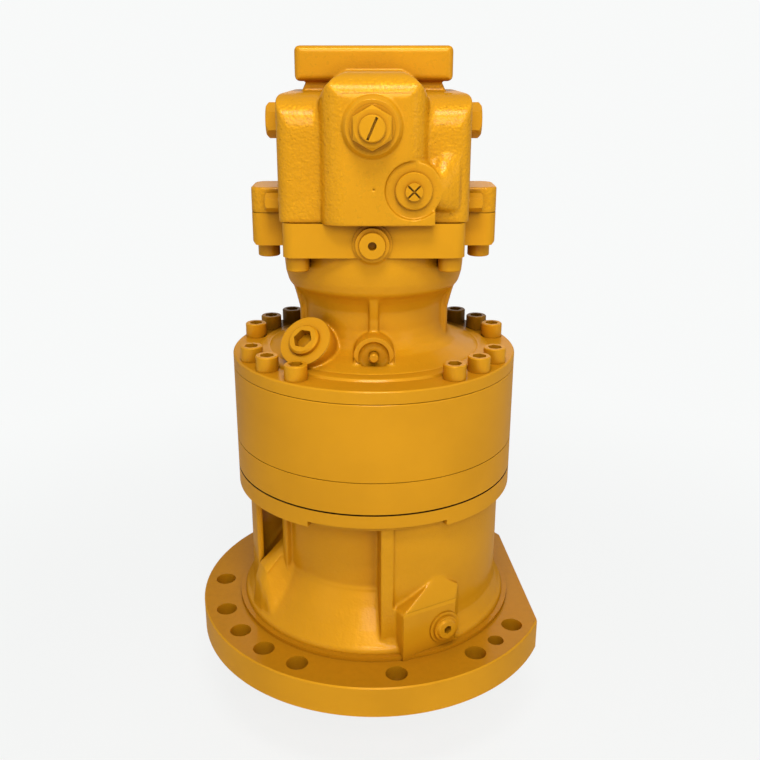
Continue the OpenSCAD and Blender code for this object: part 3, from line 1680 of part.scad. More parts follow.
// First stage
module carrier_1() {
    color(dark_steel)
    difference() {
        union() {
            translate([0, 0, z_c1_low])
                cylinder(r = carrier1_r, h = plate1_t);
            ring(carrier1_r, tip_r(gear_module, sun1_teeth) + 3, z_c1_top, z_c1_top + cap1_t);
            at_planets(planets1, carrier1_r - post1_r - 1, place1 + 180 / planets1)
                translate([0, 0, z_c1_plate - cut])
                    cylinder(r = post1_r, h = z_c1_top - z_c1_plate + 2 * cut);
        }
        translate([0, 0, z_c1_low - cut])
            linear_extrude(plate1_t + 2 * cut)
                spline(sun2_spline_teeth, sun2_stem_r - 3, sun2_stem_r, pin_fit);
        at_planets(planets1, centre1, place1)
            translate([0, 0, z_c1_low + 3])
                cylinder(d = pin1_d, h = 2 * stage1_face + plate1_t);
    }
}

module planet_pins_1() {
    color(steel)
    at_planets(planets1, centre1, place1)
        translate([0, 0, z_c1_low + 3])
            cylinder(d = pin1_d, h = z_c1_top + cap1_t - z_c1_low - 3);
}

module thrust_washers_1() {
    color(bronze)
    at_planets(planets1, centre1, place1) {
        ring(pin1_d / 2 + 8, pin1_d / 2 + pin_fit, z_c1_plate, z_c1_plate + washer_t);
        ring(pin1_d / 2 + 8, pin1_d / 2 + pin_fit, z_s1_top + washer_gap, z_c1_top);
    }
}

module planet_1(k) {
    place = place1 + 360 * k / planets1;
    rotate([0, 0, place])
        translate([centre1, 0, z_s1_low])
            rotate([0, 0, planet_turn(place, planet1_teeth) - place])
                planet(planet1_teeth, pin1_d, stage1_face);
}

// First sun, carried on the drive shaft's spline
z_sun1_low = z_c1_plate + 2;
drive_spline_r = 17;
drive_spline_teeth = 12;

module sun_1() {
    color(steel)
    difference() {
        union() {
            translate([0, 0, z_sun1_low])
                rotate([0, 0, sun_turn(place1, sun1_teeth, planet1_teeth)])
                    gear(gear_module, sun1_teeth, z_s1_top - z_sun1_low);
            translate([0, 0, z_s1_top - cut])
                cylinder(r = root_r(gear_module, sun1_teeth) - 0.5, h = z_recess - z_s1_top + cut - 2);
        }
        translate([0, 0, z_sun1_low + 3])
            linear_extrude(z_recess - z_sun1_low)
                spline(drive_spline_teeth, drive_spline_r - 2, drive_spline_r, pin_fit);
    }
}

function drive_profile() = let (rs = shaft_brg_d / 2)
    [[0, z_sun1_low + 4], [drive_spline_r - 3, z_sun1_low + 4], [drive_spline_r - 3, z_recess - 1],
        [rs - 2, z_recess - 1], [rs - 2, z_shaft_brg], [rs, z_shaft_brg], [rs, z_shaft_brg + shaft_brg_w],
        [rs + 2, z_shaft_brg + shaft_brg_w], [rs + 2, z_cavity + 3], [rs - 4, z_cavity + 6],
        [rs - 4, z_joint - valve_plate_t - 12], [top_journal_r, z_joint - valve_plate_t - 10],
        [top_journal_r, z_needle + needle_l], [top_journal_r - 1, z_needle + needle_l + 1],
        [0, z_needle + needle_l + 1]];

module drive_shaft() {
    color(steel)
    union() {
        rotate_extrude()
            polygon(drive_profile());
        translate([0, 0, z_sun1_low + 4])
            linear_extrude(z_recess - z_sun1_low - 5)
                spline(drive_spline_teeth, drive_spline_r - 2, drive_spline_r, 0);
        translate([0, 0, z_barrel0 - 2])
            linear_extrude(barrel_l - 18)
                spline(shaft_spline_teeth, shaft_spline_r - 2, shaft_spline_r, 0);
    }
}

gear_case();
spacer_ring();
ring_gear();
motor_housing();
valve_block();
cover_screws();
block_screws();
joint_dowels();
relief_valve_left();
relief_valve_right();
front_valve_cap();
front_adjuster();
cross_plug();
brake_port_plug();
filler_plug();
breather_stub();
drain_plug();
side_plugs();
output_seal();
shaft_seal();
block_oring();
cam_plate();
valve_plate();
separator_plates();
brake_springs();
lower_bearing_cup();
upper_bearing_cup();
motor_lower_cup();
motor_upper_cup();
pinion_shaft();
lower_bearing_cone();
upper_bearing_cone();
bearing_nut();
carrier_2();
planet_pins_2();
thrust_washers_2();
planet_2(0);  // planet_2_a
planet_2(1);  // planet_2_b
planet_2(2);  // planet_2_c
planet_2(3);  // planet_2_d
carrier_1();
planet_pins_1();
thrust_washers_1();
sun_2();
planet_1(0);  // planet_1_a
planet_1(1);  // planet_1_b
planet_1(2);  // planet_1_c
sun_1();
drive_shaft();
cylinder_block();
pistons();
retainer_plate();
centre_spring();
friction_discs();
motor_lower_cone();
brake_piston();
lower_rollers();
upper_rollers();
motor_lower_rollers();
motor_upper_rollers();
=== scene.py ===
import json
import math

import bmesh
import bpy
from bpy.props import FloatProperty, FloatVectorProperty, IntProperty, PointerProperty
from bpy.types import Operator, Panel, PropertyGroup
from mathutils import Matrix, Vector

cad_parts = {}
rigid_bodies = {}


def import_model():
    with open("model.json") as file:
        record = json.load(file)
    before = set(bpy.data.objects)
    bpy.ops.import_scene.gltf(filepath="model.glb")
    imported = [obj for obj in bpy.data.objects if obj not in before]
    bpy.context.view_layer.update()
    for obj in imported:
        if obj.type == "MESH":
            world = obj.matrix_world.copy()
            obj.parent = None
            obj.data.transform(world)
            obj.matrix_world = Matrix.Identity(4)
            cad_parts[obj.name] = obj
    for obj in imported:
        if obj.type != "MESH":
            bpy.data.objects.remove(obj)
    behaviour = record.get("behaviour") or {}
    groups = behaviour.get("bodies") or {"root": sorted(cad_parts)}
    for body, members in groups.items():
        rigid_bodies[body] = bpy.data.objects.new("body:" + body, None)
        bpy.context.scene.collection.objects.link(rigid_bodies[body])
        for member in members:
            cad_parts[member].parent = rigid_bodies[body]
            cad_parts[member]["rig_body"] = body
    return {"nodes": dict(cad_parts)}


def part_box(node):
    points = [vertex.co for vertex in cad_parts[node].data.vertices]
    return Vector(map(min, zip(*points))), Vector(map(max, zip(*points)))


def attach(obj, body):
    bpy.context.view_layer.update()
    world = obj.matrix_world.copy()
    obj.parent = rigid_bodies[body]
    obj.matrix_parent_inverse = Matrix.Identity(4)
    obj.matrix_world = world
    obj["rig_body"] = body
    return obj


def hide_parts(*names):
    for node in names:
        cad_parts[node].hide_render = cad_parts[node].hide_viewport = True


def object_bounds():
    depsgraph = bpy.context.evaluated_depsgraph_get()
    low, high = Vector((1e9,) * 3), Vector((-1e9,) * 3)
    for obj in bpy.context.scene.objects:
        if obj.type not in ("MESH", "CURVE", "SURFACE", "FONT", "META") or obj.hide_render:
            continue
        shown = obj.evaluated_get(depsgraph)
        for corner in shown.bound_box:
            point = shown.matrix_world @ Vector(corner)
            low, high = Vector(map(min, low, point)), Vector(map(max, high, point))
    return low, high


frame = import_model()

bl_info = {
    "name": "Swing Motor Finish",
    "version": (1, 0, 0),
    "blender": (4, 5, 0),
    "location": "3D View > Sidebar > Swing Motor",
    "description": "Castings, fittings, finishes and stage for an excavator swing motor",
    "category": "Object",
}

CAD_BOX = [list(corner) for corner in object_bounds()]
# Thickness of the housing's cover, height of its upper face, and height of the joint over the gear case
COVER = 0.014
COVER_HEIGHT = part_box("motor_housing")[0].z + COVER
JOINT_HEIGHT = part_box("spacer_ring")[0].z

# Nodes by finish. Castings, rings and fittings are painted after assembly.
TURNED_RINGS = ("spacer_ring", "ring_gear")
FITTINGS = ("cover_screws", "block_screws", "relief_valve_left", "relief_valve_right",
            "front_valve_cap", "front_adjuster", "cross_plug", "brake_port_plug", "filler_plug",
            "breather_stub", "drain_plug", "side_plugs")
GEARS = ("pinion_shaft", "sun_1", "sun_2", "planet_1_a", "planet_1_b", "planet_1_c", "planet_2_a",
         "planet_2_b", "planet_2_c", "planet_2_d", "drive_shaft")
GROUND = ("lower_bearing_cup", "upper_bearing_cup", "motor_lower_cup", "motor_upper_cup",
          "lower_bearing_cone", "upper_bearing_cone", "motor_lower_cone", "lower_rollers",
          "upper_rollers", "motor_lower_rollers", "motor_upper_rollers", "planet_pins_1",
          "planet_pins_2", "joint_dowels", "pistons", "cam_plate", "separator_plates", "brake_piston")
DARK = ("carrier_1", "carrier_2", "bearing_nut", "cylinder_block", "retainer_plate")
BRONZE = ("valve_plate", "thrust_washers_1", "thrust_washers_2")
LINING = ("friction_discs",)
SPRINGS = ("centre_spring", "brake_springs")
RUBBER = ("output_seal", "shaft_seal", "block_oring")
# Nodes, name, colour, colour of the stains and roughness of each metal, then where they aren't the
# usual ones: share of metal, depth of the lines and share of oil
METALS = ((GEARS, "gear_steel", (0.40, 0.39, 0.37), (0.20, 0.17, 0.14), 0.30),
          (GROUND, "ground_steel", (0.58, 0.58, 0.59), (0.36, 0.33, 0.29), 0.18),
          (DARK, "nitrided_iron", (0.13, 0.13, 0.135), (0.07, 0.065, 0.06), 0.42, 0.85),
          (BRONZE, "bronze", (0.55, 0.34, 0.13), (0.30, 0.17, 0.06), 0.28),
          (LINING, "friction_lining", (0.22, 0.14, 0.08), (0.10, 0.07, 0.05), 0.62, 0.3, 0.00002, 0.0),
          (SPRINGS, "spring_steel", (0.24, 0.25, 0.28), (0.10, 0.09, 0.08), 0.24))

UP, DOWN = (0.0, 0.0, 1.0), (0.0, 0.0, -1.0)
ALONG_X, ALONG_Y, FRONT = (1.0, 0.0, 0.0), (0.0, 1.0, 0.0), (0.0, -1.0, 0.0)
# Edges between faces that turn by more than SHARP are broken, and SMOOTH_UNDER shades the rest smooth
SHARP = math.radians(28)
SMOOTH_UNDER = math.radians(38)
EDGE_STEPS = 2
# How near to a cut a vertex counts as being on it, and what counts as one point
ON_CUT = 0.0004
ONE_POINT = 0.00001
# How far a raw part and a milled one overlap at their cut
OVERLAP = 0.003
# A raw face is pressed back by PRESSED times this under the milled face that covers it, and the skin
# up to FOLLOWS times this behind it goes along by less and less
UNDER_MILLED = 0.0006
PRESSED, FOLLOWS = 1.5, 4.0

# Valve block: side, front face, side of the bulge, and the bulge's front behind the foremost point
BLOCK_SIDE = 0.0955
BLOCK_FACE = -0.0965
BULGE_SIDE = 0.053
BULGE_BEHIND = 0.007
# Depth of the milled cap boss and of the milled port pad, and of the raw part's cut behind that pad
CAP_BOSS_DEPTH = 0.0055
PORT_PAD_DEPTH = 0.003
PORT_PAD_CUT = 0.0033
# Radii between which the milled seats of the plug, the cap and the side valves end
PLUG_RIM = (0.030, 0.033)
CAP_RIM = (0.016, 0.018)
SIDE_RIM = (0.021, 0.025)

# Motor housing: where the milled cover flange and top plate end
BEAD_RISE = 0.0036
TOP_PLATE_DEPTH = 0.0348
# Arched boss: its face, the cut behind it, and its middle and its foot above the cover
ARCH_FACE = -0.104
ARCH_CUT = -0.102
ARCH_RISE = 0.018
ARCH_FOOT = 0.010
# Height of the step in the bore, and the radii below and above it
BORE_STEP = 0.4285
BORES = (0.0755, 0.0870)
# Middle of the filler boss's face above the cover, the way it looks, and the cut behind it
FILLER_FACE = (-0.0725, -0.083, 0.029)
FILLER_AXIS = (-0.36028, -0.64998, 0.66913)
FILLER_CUT = 0.002

# Gear case: spigot, mounting flange and register ring from below, upper flange, and the neck's foot
SPIGOT = 0.012
MOUNTING_FLANGE = 0.036
REGISTER = 0.0048
UPPER_FLANGE = 0.0208
NECK_FOOT = 0.098
# Radii between which the bore ends and the raw casting begins
CASE_BORE = (0.098, 0.101)
# Drain boss: turn, distance and height of its face, distance of the cut, and room above it
DRAIN_TURN = math.radians(299)
DRAIN_FACE = 0.160
DRAIN_HEIGHT = 0.064
DRAIN_CUT = 0.1585
DRAIN_ROOM = 0.0375
# Deep pocket: radius and height of its floor's front end, and how steep it is inside and outside
POCKET_END = (0.148, 0.0998)
POCKET_SLOPES = (0.91, 2.9)
# Height of the fine ridge where the foot meets the neck
RIDGE = 0.0006

# Distances within which other faces darken a corner and a slot with painted shade
CORNER_REACH, SLOT_REACH = 0.026, 0.004

# Name, place, width, height and power of each lamp, and the point that all look at
LAMPS = (("front_light", (0.15, -2.0, 1.6), 1.1, 0.9, 22.0),
         ("left_light", (-1.6, -1.5, 0.9), 0.8, 1.2, 1.0),
         ("right_light", (1.7, -1.4, 1.0), 0.8, 1.2, 3.5),
         ("top_light", (0.0, -1.0, 1.9), 0.7, 0.4, 16.0),
         ("back_light", (0.3, 2.0, 1.2), 1.6, 1.2, 9.0))
LAMP_AIM = (0.0, 0.0, 0.32)
# Strength of the surroundings as light, and size of the floor
ROOM_LIGHT = 0.17
FLOOR_SIZE = 24.0
# Size of the photograph and of a full sensor, and the shift of the picture in pixels
PHOTO_PX = 760.0
SENSOR_MM = 36.0
SHIFT_PX = (6.2, -2.0)


class SwingMotorPaint(PropertyGroup):
    """Colours and grain of the paint, with the colours of its painted shade."""

    gold: FloatVectorProperty(name="Gold", description="Colour of the paint", subtype="COLOR", size=3,
                              min=0.0, max=1.0, default=(0.745, 0.332, 0.009))
    # Colour of darker patches of tone, and of the painted shade in corners
    deep: FloatVectorProperty(name="Dark gold and painted shade", description="Colour of darker tone, and of painted shade in corners",
                              subtype="COLOR", size=3, min=0.0, max=1.0, default=(0.28, 0.105, 0.002))
    # Colour of the painted shade on faces that look up
    top_shade: FloatVectorProperty(name="Painted top shade", description="Colour of painted shade on faces that look up",
                              subtype="COLOR", size=3, min=0.0, max=1.0, default=(0.45, 0.185, 0.006))
    # Colour of the painted shade in slots and at the back, and of the dark joint line
    hollow: FloatVectorProperty(name="Hollow", description="Colour of painted shade in slots and at the back, and of the dark joint line",
                                subtype="COLOR", size=3, min=0.0, max=1.0, default=(0.028, 0.011, 0.001))
    grain: FloatProperty(name="Grain", description="Size of the cast grain under the paint",
                         unit="LENGTH", min=0.0005, max=0.02, default=0.0027)
    gloss: FloatProperty(name="Roughness", description="Roughness of the smooth paint", subtype="FACTOR",
                         min=0.0, max=1.0, default=0.36)


class SwingMotorCasting(PropertyGroup):
    """How the castings' skins are rebuilt and their edges broken."""

    block_cell: FloatProperty(name="Block cell", description="Cell size of the valve block's skin",
                              unit="LENGTH", min=0.0008, max=0.01, default=0.0011)
    housing_cell: FloatProperty(name="Housing cell", description="Cell size of the housing's skin",
                                unit="LENGTH", min=0.0008, max=0.01, default=0.0014)
    case_cell: FloatProperty(name="Case cell", description="Cell size of the gear case's skin",
                             unit="LENGTH", min=0.0008, max=0.01, default=0.0015)
    rounding: IntProperty(name="Rounding", description="Passes that round the cast corners", min=0,
                          max=60, default=10)
    fillet: IntProperty(name="Fillet", description="Passes that widen the fillets at the roots", min=0,
                        max=200, default=70)
    triangles: IntProperty(name="Triangles", description="Most triangles in a casting's skin", min=10000,
                           max=180000, default=150000)
    edge: FloatProperty(name="Edge", description="Width of a broken edge on turned and milled parts",
                        unit="LENGTH", min=0.0001, max=0.003, default=0.0006)


class SwingMotorStage(PropertyGroup):
    """Camera and backdrop."""

    camera_place: FloatVectorProperty(name="Camera", description="Place of the camera", unit="LENGTH",
                                      subtype="XYZ", size=3, default=(0.0, -0.992, 0.6487))
    camera_drop: FloatProperty(name="Drop", description="Angle that the camera looks down at",
                               subtype="ANGLE", default=math.radians(19.05))
    focal_px: FloatProperty(name="Focal length", description="Focal length over the picture's width",
                            min=0.1, max=10.0, default=900.0 / PHOTO_PX)
    pale: FloatVectorProperty(name="Backdrop", description="Colour of the backdrop", subtype="COLOR",
                              size=3, min=0.0, max=1.0, default=(0.94, 0.95, 0.945))


class SwingMotorSettings(PropertyGroup):
    """All the settings of the swing motor."""

    paint: PointerProperty(type=SwingMotorPaint)
    casting: PointerProperty(type=SwingMotorCasting)
    stage: PointerProperty(type=SwingMotorStage)


def settings():
    return bpy.context.scene.swing_motor


# Selecting and shaping

def deselect_all():
    for other in bpy.context.selected_objects:
        other.select_set(False)


def make_active(piece):
    deselect_all()
    piece.select_set(True)
    bpy.context.view_layer.objects.active = piece


def apply_modifier(piece, kind, **values):
    make_active(piece)
    bpy.ops.object.modifier_add(type=kind)
    modifier = piece.modifiers[-1]
    for key, value in values.items():
        setattr(modifier, key, value)
    bpy.ops.object.modifier_apply(modifier=modifier.name)


def merged_copy(node, name):
    """A copy of a CAD node's mesh, with its loose triangles joined."""
    source = frame["nodes"][node]
    piece = bpy.data.objects.new(name, source.data.copy())
    piece.data.name = name
    bpy.context.scene.collection.objects.link(piece)
    make_active(piece)
    piece.data.materials.clear()
    bpy.ops.object.mode_set(mode="EDIT")
    bpy.ops.mesh.select_all(action="SELECT")
    bpy.ops.mesh.customdata_custom_splitnormals_clear()
    bpy.ops.mesh.remove_doubles(threshold=ONE_POINT)
    bpy.ops.object.mode_set(mode="OBJECT")
    return piece


def finish_piece(piece, node, material):
    """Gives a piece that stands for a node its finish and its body."""
    piece.data.materials.append(material)
    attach(piece, frame["nodes"][node]["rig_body"])
    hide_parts(node)


def cut_off(piece, planes, root=0.0):
    """Cuts off what lies in front of each plane and closes the cut.

    With a root the cut face grows on by that much, so that it stands in the part that it meets.
    """
    make_active(piece)
    bpy.ops.object.mode_set(mode="EDIT")
    for point, normal in planes:
        bpy.ops.mesh.select_all(action="SELECT")
        bpy.ops.mesh.bisect(plane_co=point, plane_no=normal, use_fill=True, clear_outer=True)
        if root:
            bpy.ops.mesh.extrude_region()
            bpy.ops.transform.translate(value=[root * part for part in normal])
    bpy.ops.object.mode_set(mode="OBJECT")


def drop_outside(piece, point, axis, radius):
    """Deletes what lies further than the radius from a line."""
    make_active(piece)
    for vertex in piece.data.vertices:
        arm = vertex.co - Vector(point)
        vertex.select = (arm - arm.dot(Vector(axis)) * Vector(axis)).length > radius
    bpy.ops.object.mode_set(mode="EDIT")
    bpy.ops.mesh.delete(type="VERT")
    bpy.ops.object.mode_set(mode="OBJECT")


def on_plane(vertex, planes):
    return any(abs((vertex.co - Vector(point)).dot(Vector(normal))) < ON_CUT for point, normal in planes)


def break_edges(piece, width, planes=()):
    """Breaks the sharp outer edges, but not those of a cut, and shades the piece smooth."""
    shape = bmesh.new()
    shape.from_mesh(piece.data)
    weight = shape.edges.layers.float.new("bevel_weight_edge")
    for edge in shape.edges:
        sharp = len(edge.link_faces) == 2 and edge.calc_face_angle_signed(0.0) > SHARP
        edge[weight] = 1.0 if sharp and not on_plane(edge.verts[0], planes) else 0.0
    shape.to_mesh(piece.data)
    shape.free()
    apply_modifier(piece, "BEVEL", width=width, segments=EDGE_STEPS, limit_method="WEIGHT",
                   miter_outer="MITER_ARC")
    make_active(piece)
    bpy.ops.object.shade_smooth_by_angle(angle=SMOOTH_UNDER)
    group = piece.vertex_groups.new(name="milled")
    group.add(range(len(piece.data.vertices)), 1.0, "REPLACE")


def broken_edge_copy(node, name, width):
    """A copy of a node with its sharp edges broken."""
    piece = merged_copy(node, name)
    break_edges(piece, width)
    apply_modifier(piece, "WEIGHTED_NORMAL", keep_sharp=True)
    return piece


def milled_part(node, name, planes, width, near=None):
    """The machined part of a casting: what its planes leave, with crisp edges.

    near is a point, an axis and a radius, and what lies further out is left away.
    """
    piece = merged_copy(node, name)
    cut_off(piece, planes)
    if near:
        drop_outside(piece, *near)
    break_edges(piece, width, planes)
    return piece


def paint_weights(piece, name, shares):
    """A vertex group with each vertex's share, in tenths."""
    group = piece.vertex_groups.new(name=name)
    steps = {}
    for index, share in enumerate(shares):
        steps.setdefault(round(share * 10), []).append(index)
    for step, indices in steps.items():
        group.add(indices, step / 10, "REPLACE")


def cast_part(node, name, planes, cell, is_cast, is_filleted=None, reshape=None, root=OVERLAP):
    """The raw part of a casting: its skin is rebuilt in small cells and its corners are rounded.

    is_cast(co) says how much a point belongs to the raw casting, from 0 to 1, and is_filleted(co)
    how much it lies in a wide fillet. reshape(co) moves a point before the rounding.
    """
    casting = settings().casting
    piece = merged_copy(node, name)
    cut_off(piece, planes, root)
    apply_modifier(piece, "REMESH", mode="VOXEL", voxel_size=cell, use_smooth_shade=True)
    if reshape:
        for vertex in piece.data.vertices:
            reshape(vertex.co)
    shares = [is_cast(vertex.co) for vertex in piece.data.vertices]
    paint_weights(piece, "raw_skin", shares)
    piece.data.attributes.new("cast", "FLOAT", "POINT").data.foreach_set("value", shares)
    apply_modifier(piece, "SMOOTH", factor=0.5, iterations=1)
    apply_modifier(piece, "SMOOTH", factor=0.5, iterations=casting.rounding, vertex_group="raw_skin")
    if is_filleted:
        paint_weights(piece, "fillets", [is_filleted(vertex.co) for vertex in piece.data.vertices])
        apply_modifier(piece, "SMOOTH", factor=0.6, iterations=casting.fillet, vertex_group="fillets")
    return piece


def press_back(piece, point, axis, radius, depth=UNDER_MILLED, lowest=-1.0):
    """Presses a raw face back under the milled face that covers it, and what lies behind it less.

    Nothing below the lowest height is moved.
    """
    for vertex in piece.data.vertices:
        arm = vertex.co - Vector(point)
        out = arm.dot(Vector(axis))
        off = (arm - out * Vector(axis)).length
        if out > -FOLLOWS * depth and vertex.co.z > lowest and off < radius:
            back = min(out, 0.0) * PRESSED / FOLLOWS + PRESSED * depth + max(out, 0.0)
            vertex.co -= Vector(axis) * back


def joined_casting(raw, milled):
    """Joins the raw part and the machined parts of a casting to one piece."""
    keep = settings().casting.triangles / (2 * len(raw.data.polygons))
    if keep < 1.0:
        apply_modifier(raw, "DECIMATE", decimate_type="COLLAPSE", ratio=keep)
    make_active(raw)
    bpy.ops.object.shade_smooth()
    for part in milled:
        part.select_set(True)
    bpy.ops.object.join()
    apply_modifier(raw, "WEIGHTED_NORMAL", keep_sharp=True, vertex_group="milled")
    return raw


# Shader node groups and materials

def new_group(name, inputs, outputs):
    """A node group with its tree, and its input and output nodes."""
    tree = bpy.data.node_groups.new(name, "ShaderNodeTree")
    for label, kind, value in inputs:
        socket = tree.interface.new_socket(name=label, in_out="INPUT", socket_type=kind)
        if value is not None:
            socket.default_value = value
    for label, kind in outputs:
        tree.interface.new_socket(name=label, in_out="OUTPUT", socket_type=kind)
    return tree, tree.nodes.new("NodeGroupInput"), tree.nodes.new("NodeGroupOutput")


def add(tree, kind, values=None, **settings_of_node):
    """A new node with its settings and its inputs, each a value or another node's output."""
    made = tree.nodes.new(kind)
    for key, value in settings_of_node.items():
        setattr(made, key, value)
    for key, value in (values or {}).items():
        if isinstance(value, bpy.types.NodeSocket):
            tree.links.new(value, made.inputs[key])
        else:
            made.inputs[key].default_value = value
    return made


def maths(tree, operation, first, second=0.0):
    return add(tree, "ShaderNodeMath", {0: first, 1: second}, operation=operation).outputs[0]


def remap(tree, value, low, high, to_low=0.0, to_high=1.0):
    values = {"Value": value, "From Min": low, "From Max": high, "To Min": to_low, "To Max": to_high}
    return add(tree, "ShaderNodeMapRange", values, interpolation_type="SMOOTHSTEP").outputs["Result"]


def mix_colour(tree, share, first, second):
    # 6, 7 and 2 are the colour sockets of the mix node
    return add(tree, "ShaderNodeMix", {0: share, 6: first, 7: second}, data_type="RGBA").outputs[2]


def noise(tree, vector, scale, detail=2.0, roughness=0.5):
    return add(tree, "ShaderNodeTexNoise", {"Vector": vector, "Scale": scale, "Detail": detail,
                                            "Roughness": roughness}).outputs["Fac"]


def length(tree, vector):
    return add(tree, "ShaderNodeVectorMath", {0: vector}, operation="LENGTH").outputs["Value"]


def cast_grain_group():
    """Height of sand-cast iron under paint: soft grains with a few pits."""
    tree, start, end = new_group(
        "cast_grain", [("Vector", "NodeSocketVector", None), ("Grain", "NodeSocketFloat", 300.0)],
        [("Height", "NodeSocketFloat")])
    vector, grain = start.outputs["Vector"], start.outputs["Grain"]
    coarse = noise(tree, vector, maths(tree, "MULTIPLY", grain, 0.35), 3.0, 0.55)
    fine = noise(tree, vector, grain, 2.0, 0.5)
    cells = add(tree, "ShaderNodeTexVoronoi", {"Vector": vector, "Scale": grain, "Smoothness": 0.8},
                feature="SMOOTH_F1").outputs["Distance"]
    pits = remap(tree, noise(tree, vector, maths(tree, "MULTIPLY", grain, 0.6), 1.0), 0.30, 0.22)
    height = maths(tree, "ADD", maths(tree, "MULTIPLY", coarse, 0.9), maths(tree, "MULTIPLY", fine, 0.45))
    height = maths(tree, "SUBTRACT", height, maths(tree, "MULTIPLY", cells, 0.5))
    height = maths(tree, "SUBTRACT", height, maths(tree, "MULTIPLY", pits, 0.5))
    tree.links.new(height, end.inputs["Height"])
    return tree


def turned_group():
    """Height of fine lathe lines that run round the shaft's axis."""
    tree, start, end = new_group(
        "turned_lines", [("Vector", "NodeSocketVector", None), ("Pitch", "NodeSocketFloat", 1500.0)],
        [("Height", "NodeSocketFloat")])
    parts = add(tree, "ShaderNodeSeparateXYZ", {0: start.outputs["Vector"]})
    flat = add(tree, "ShaderNodeCombineXYZ", {0: parts.outputs[0], 1: parts.outputs[1]})
    line = add(tree, "ShaderNodeCombineXYZ", {0: length(tree, flat.outputs[0]), 2: parts.outputs[2]})
    tree.links.new(noise(tree, line.outputs[0], start.outputs["Pitch"], 1.0), end.inputs["Height"])
    return tree


def paint_tone_group():
    """Colour of the paint: gold with darker patches of tone, painted shade in corners, in slots, on faces
    that look up and at the back, and a dark joint line.
    """
    tree, start, end = new_group(
        "paint_tone",
        [("Vector", "NodeSocketVector", None), ("Gold", "NodeSocketColor", None),
         ("Deep", "NodeSocketColor", None), ("Top shade", "NodeSocketColor", None),
         ("Hollow", "NodeSocketColor", None), ("Open", "NodeSocketFloat", 1.0),
         ("Near open", "NodeSocketFloat", 1.0), ("Joint line and back shade", "NodeSocketFloat", 0.0),
         ("Top shade amount", "NodeSocketFloat", 0.5)],
        [("Color", "NodeSocketColor"), ("Dull", "NodeSocketFloat")])
    vector, gold, deep = start.outputs["Vector"], start.outputs["Gold"], start.outputs["Deep"]
    clouds = remap(tree, noise(tree, vector, 9.0, 4.0), 0.35, 0.70)
    specks = remap(tree, noise(tree, vector, 160.0, 3.0), 0.35, 0.75)
    # Painted shade where other faces stand near: in corners, and darker in slots
    corner = remap(tree, start.outputs["Open"], 0.88, 0.35)
    slot = remap(tree, start.outputs["Near open"], 0.50, 0.28)
    colour = mix_colour(tree, maths(tree, "MULTIPLY", clouds, 0.14), gold, deep)
    colour = mix_colour(tree, maths(tree, "MULTIPLY", corner, 0.72), colour, deep)
    # Painted shade on faces that look up, as strong as the amount given
    normal = add(tree, "ShaderNodeNewGeometry").outputs["Normal"]
    up = add(tree, "ShaderNodeSeparateXYZ", {0: normal}).outputs[2]
    lies = maths(tree, "MULTIPLY", remap(tree, up, 0.75, 0.98), start.outputs["Top shade amount"])
    lies = maths(tree, "MULTIPLY", lies, remap(tree, specks, 0.0, 1.0, 0.90, 1.0))
    colour = mix_colour(tree, lies, colour, start.outputs["Top shade"])
    # Painted shade in slots and at the back of the cover, and the dark line in the joint
    dark = maths(tree, "MAXIMUM", slot, start.outputs["Joint line and back shade"])
    colour = mix_colour(tree, dark, colour, start.outputs["Hollow"])
    dull = maths(tree, "ADD", maths(tree, "MULTIPLY", lies, 0.25), maths(tree, "MULTIPLY", specks, 0.06))
    tree.links.new(colour, end.inputs["Color"])
    tree.links.new(dull, end.inputs["Dull"])
    return tree


def joint_line_and_back_shade_group():
    """Where the paint is darker: a dark line in the joint over the gear case, and painted shade round the
    screws behind the bowl.
    """
    tree, start, end = new_group("joint_line_and_back_shade", [("Vector", "NodeSocketVector", None)],
                                 [("Joint line and back shade", "NodeSocketFloat")])
    parts = add(tree, "ShaderNodeSeparateXYZ", {0: start.outputs["Vector"]})
    joint = maths(tree, "ABSOLUTE", maths(tree, "SUBTRACT", parts.outputs[2], JOINT_HEIGHT + 0.0005))
    joint = remap(tree, joint, 0.0011, 0.0007)
    patches = noise(tree, start.outputs["Vector"], 22.0, 4.0, 0.6)
    # Painted shade at the back, round the cover and its screws
    behind = maths(tree, "ADD", parts.outputs[1], maths(tree, "MULTIPLY", patches, 0.06))
    behind = remap(tree, behind, 0.055, 0.115)
    cover = maths(tree, "ABSOLUTE", maths(tree, "SUBTRACT", parts.outputs[2], COVER_HEIGHT + 0.012))
    cover = remap(tree, cover, 0.022, 0.014)
    behind = maths(tree, "MULTIPLY", maths(tree, "MULTIPLY", behind, cover), 0.8)
    tree.links.new(maths(tree, "MAXIMUM", joint, behind), end.inputs["Joint line and back shade"])
    return tree


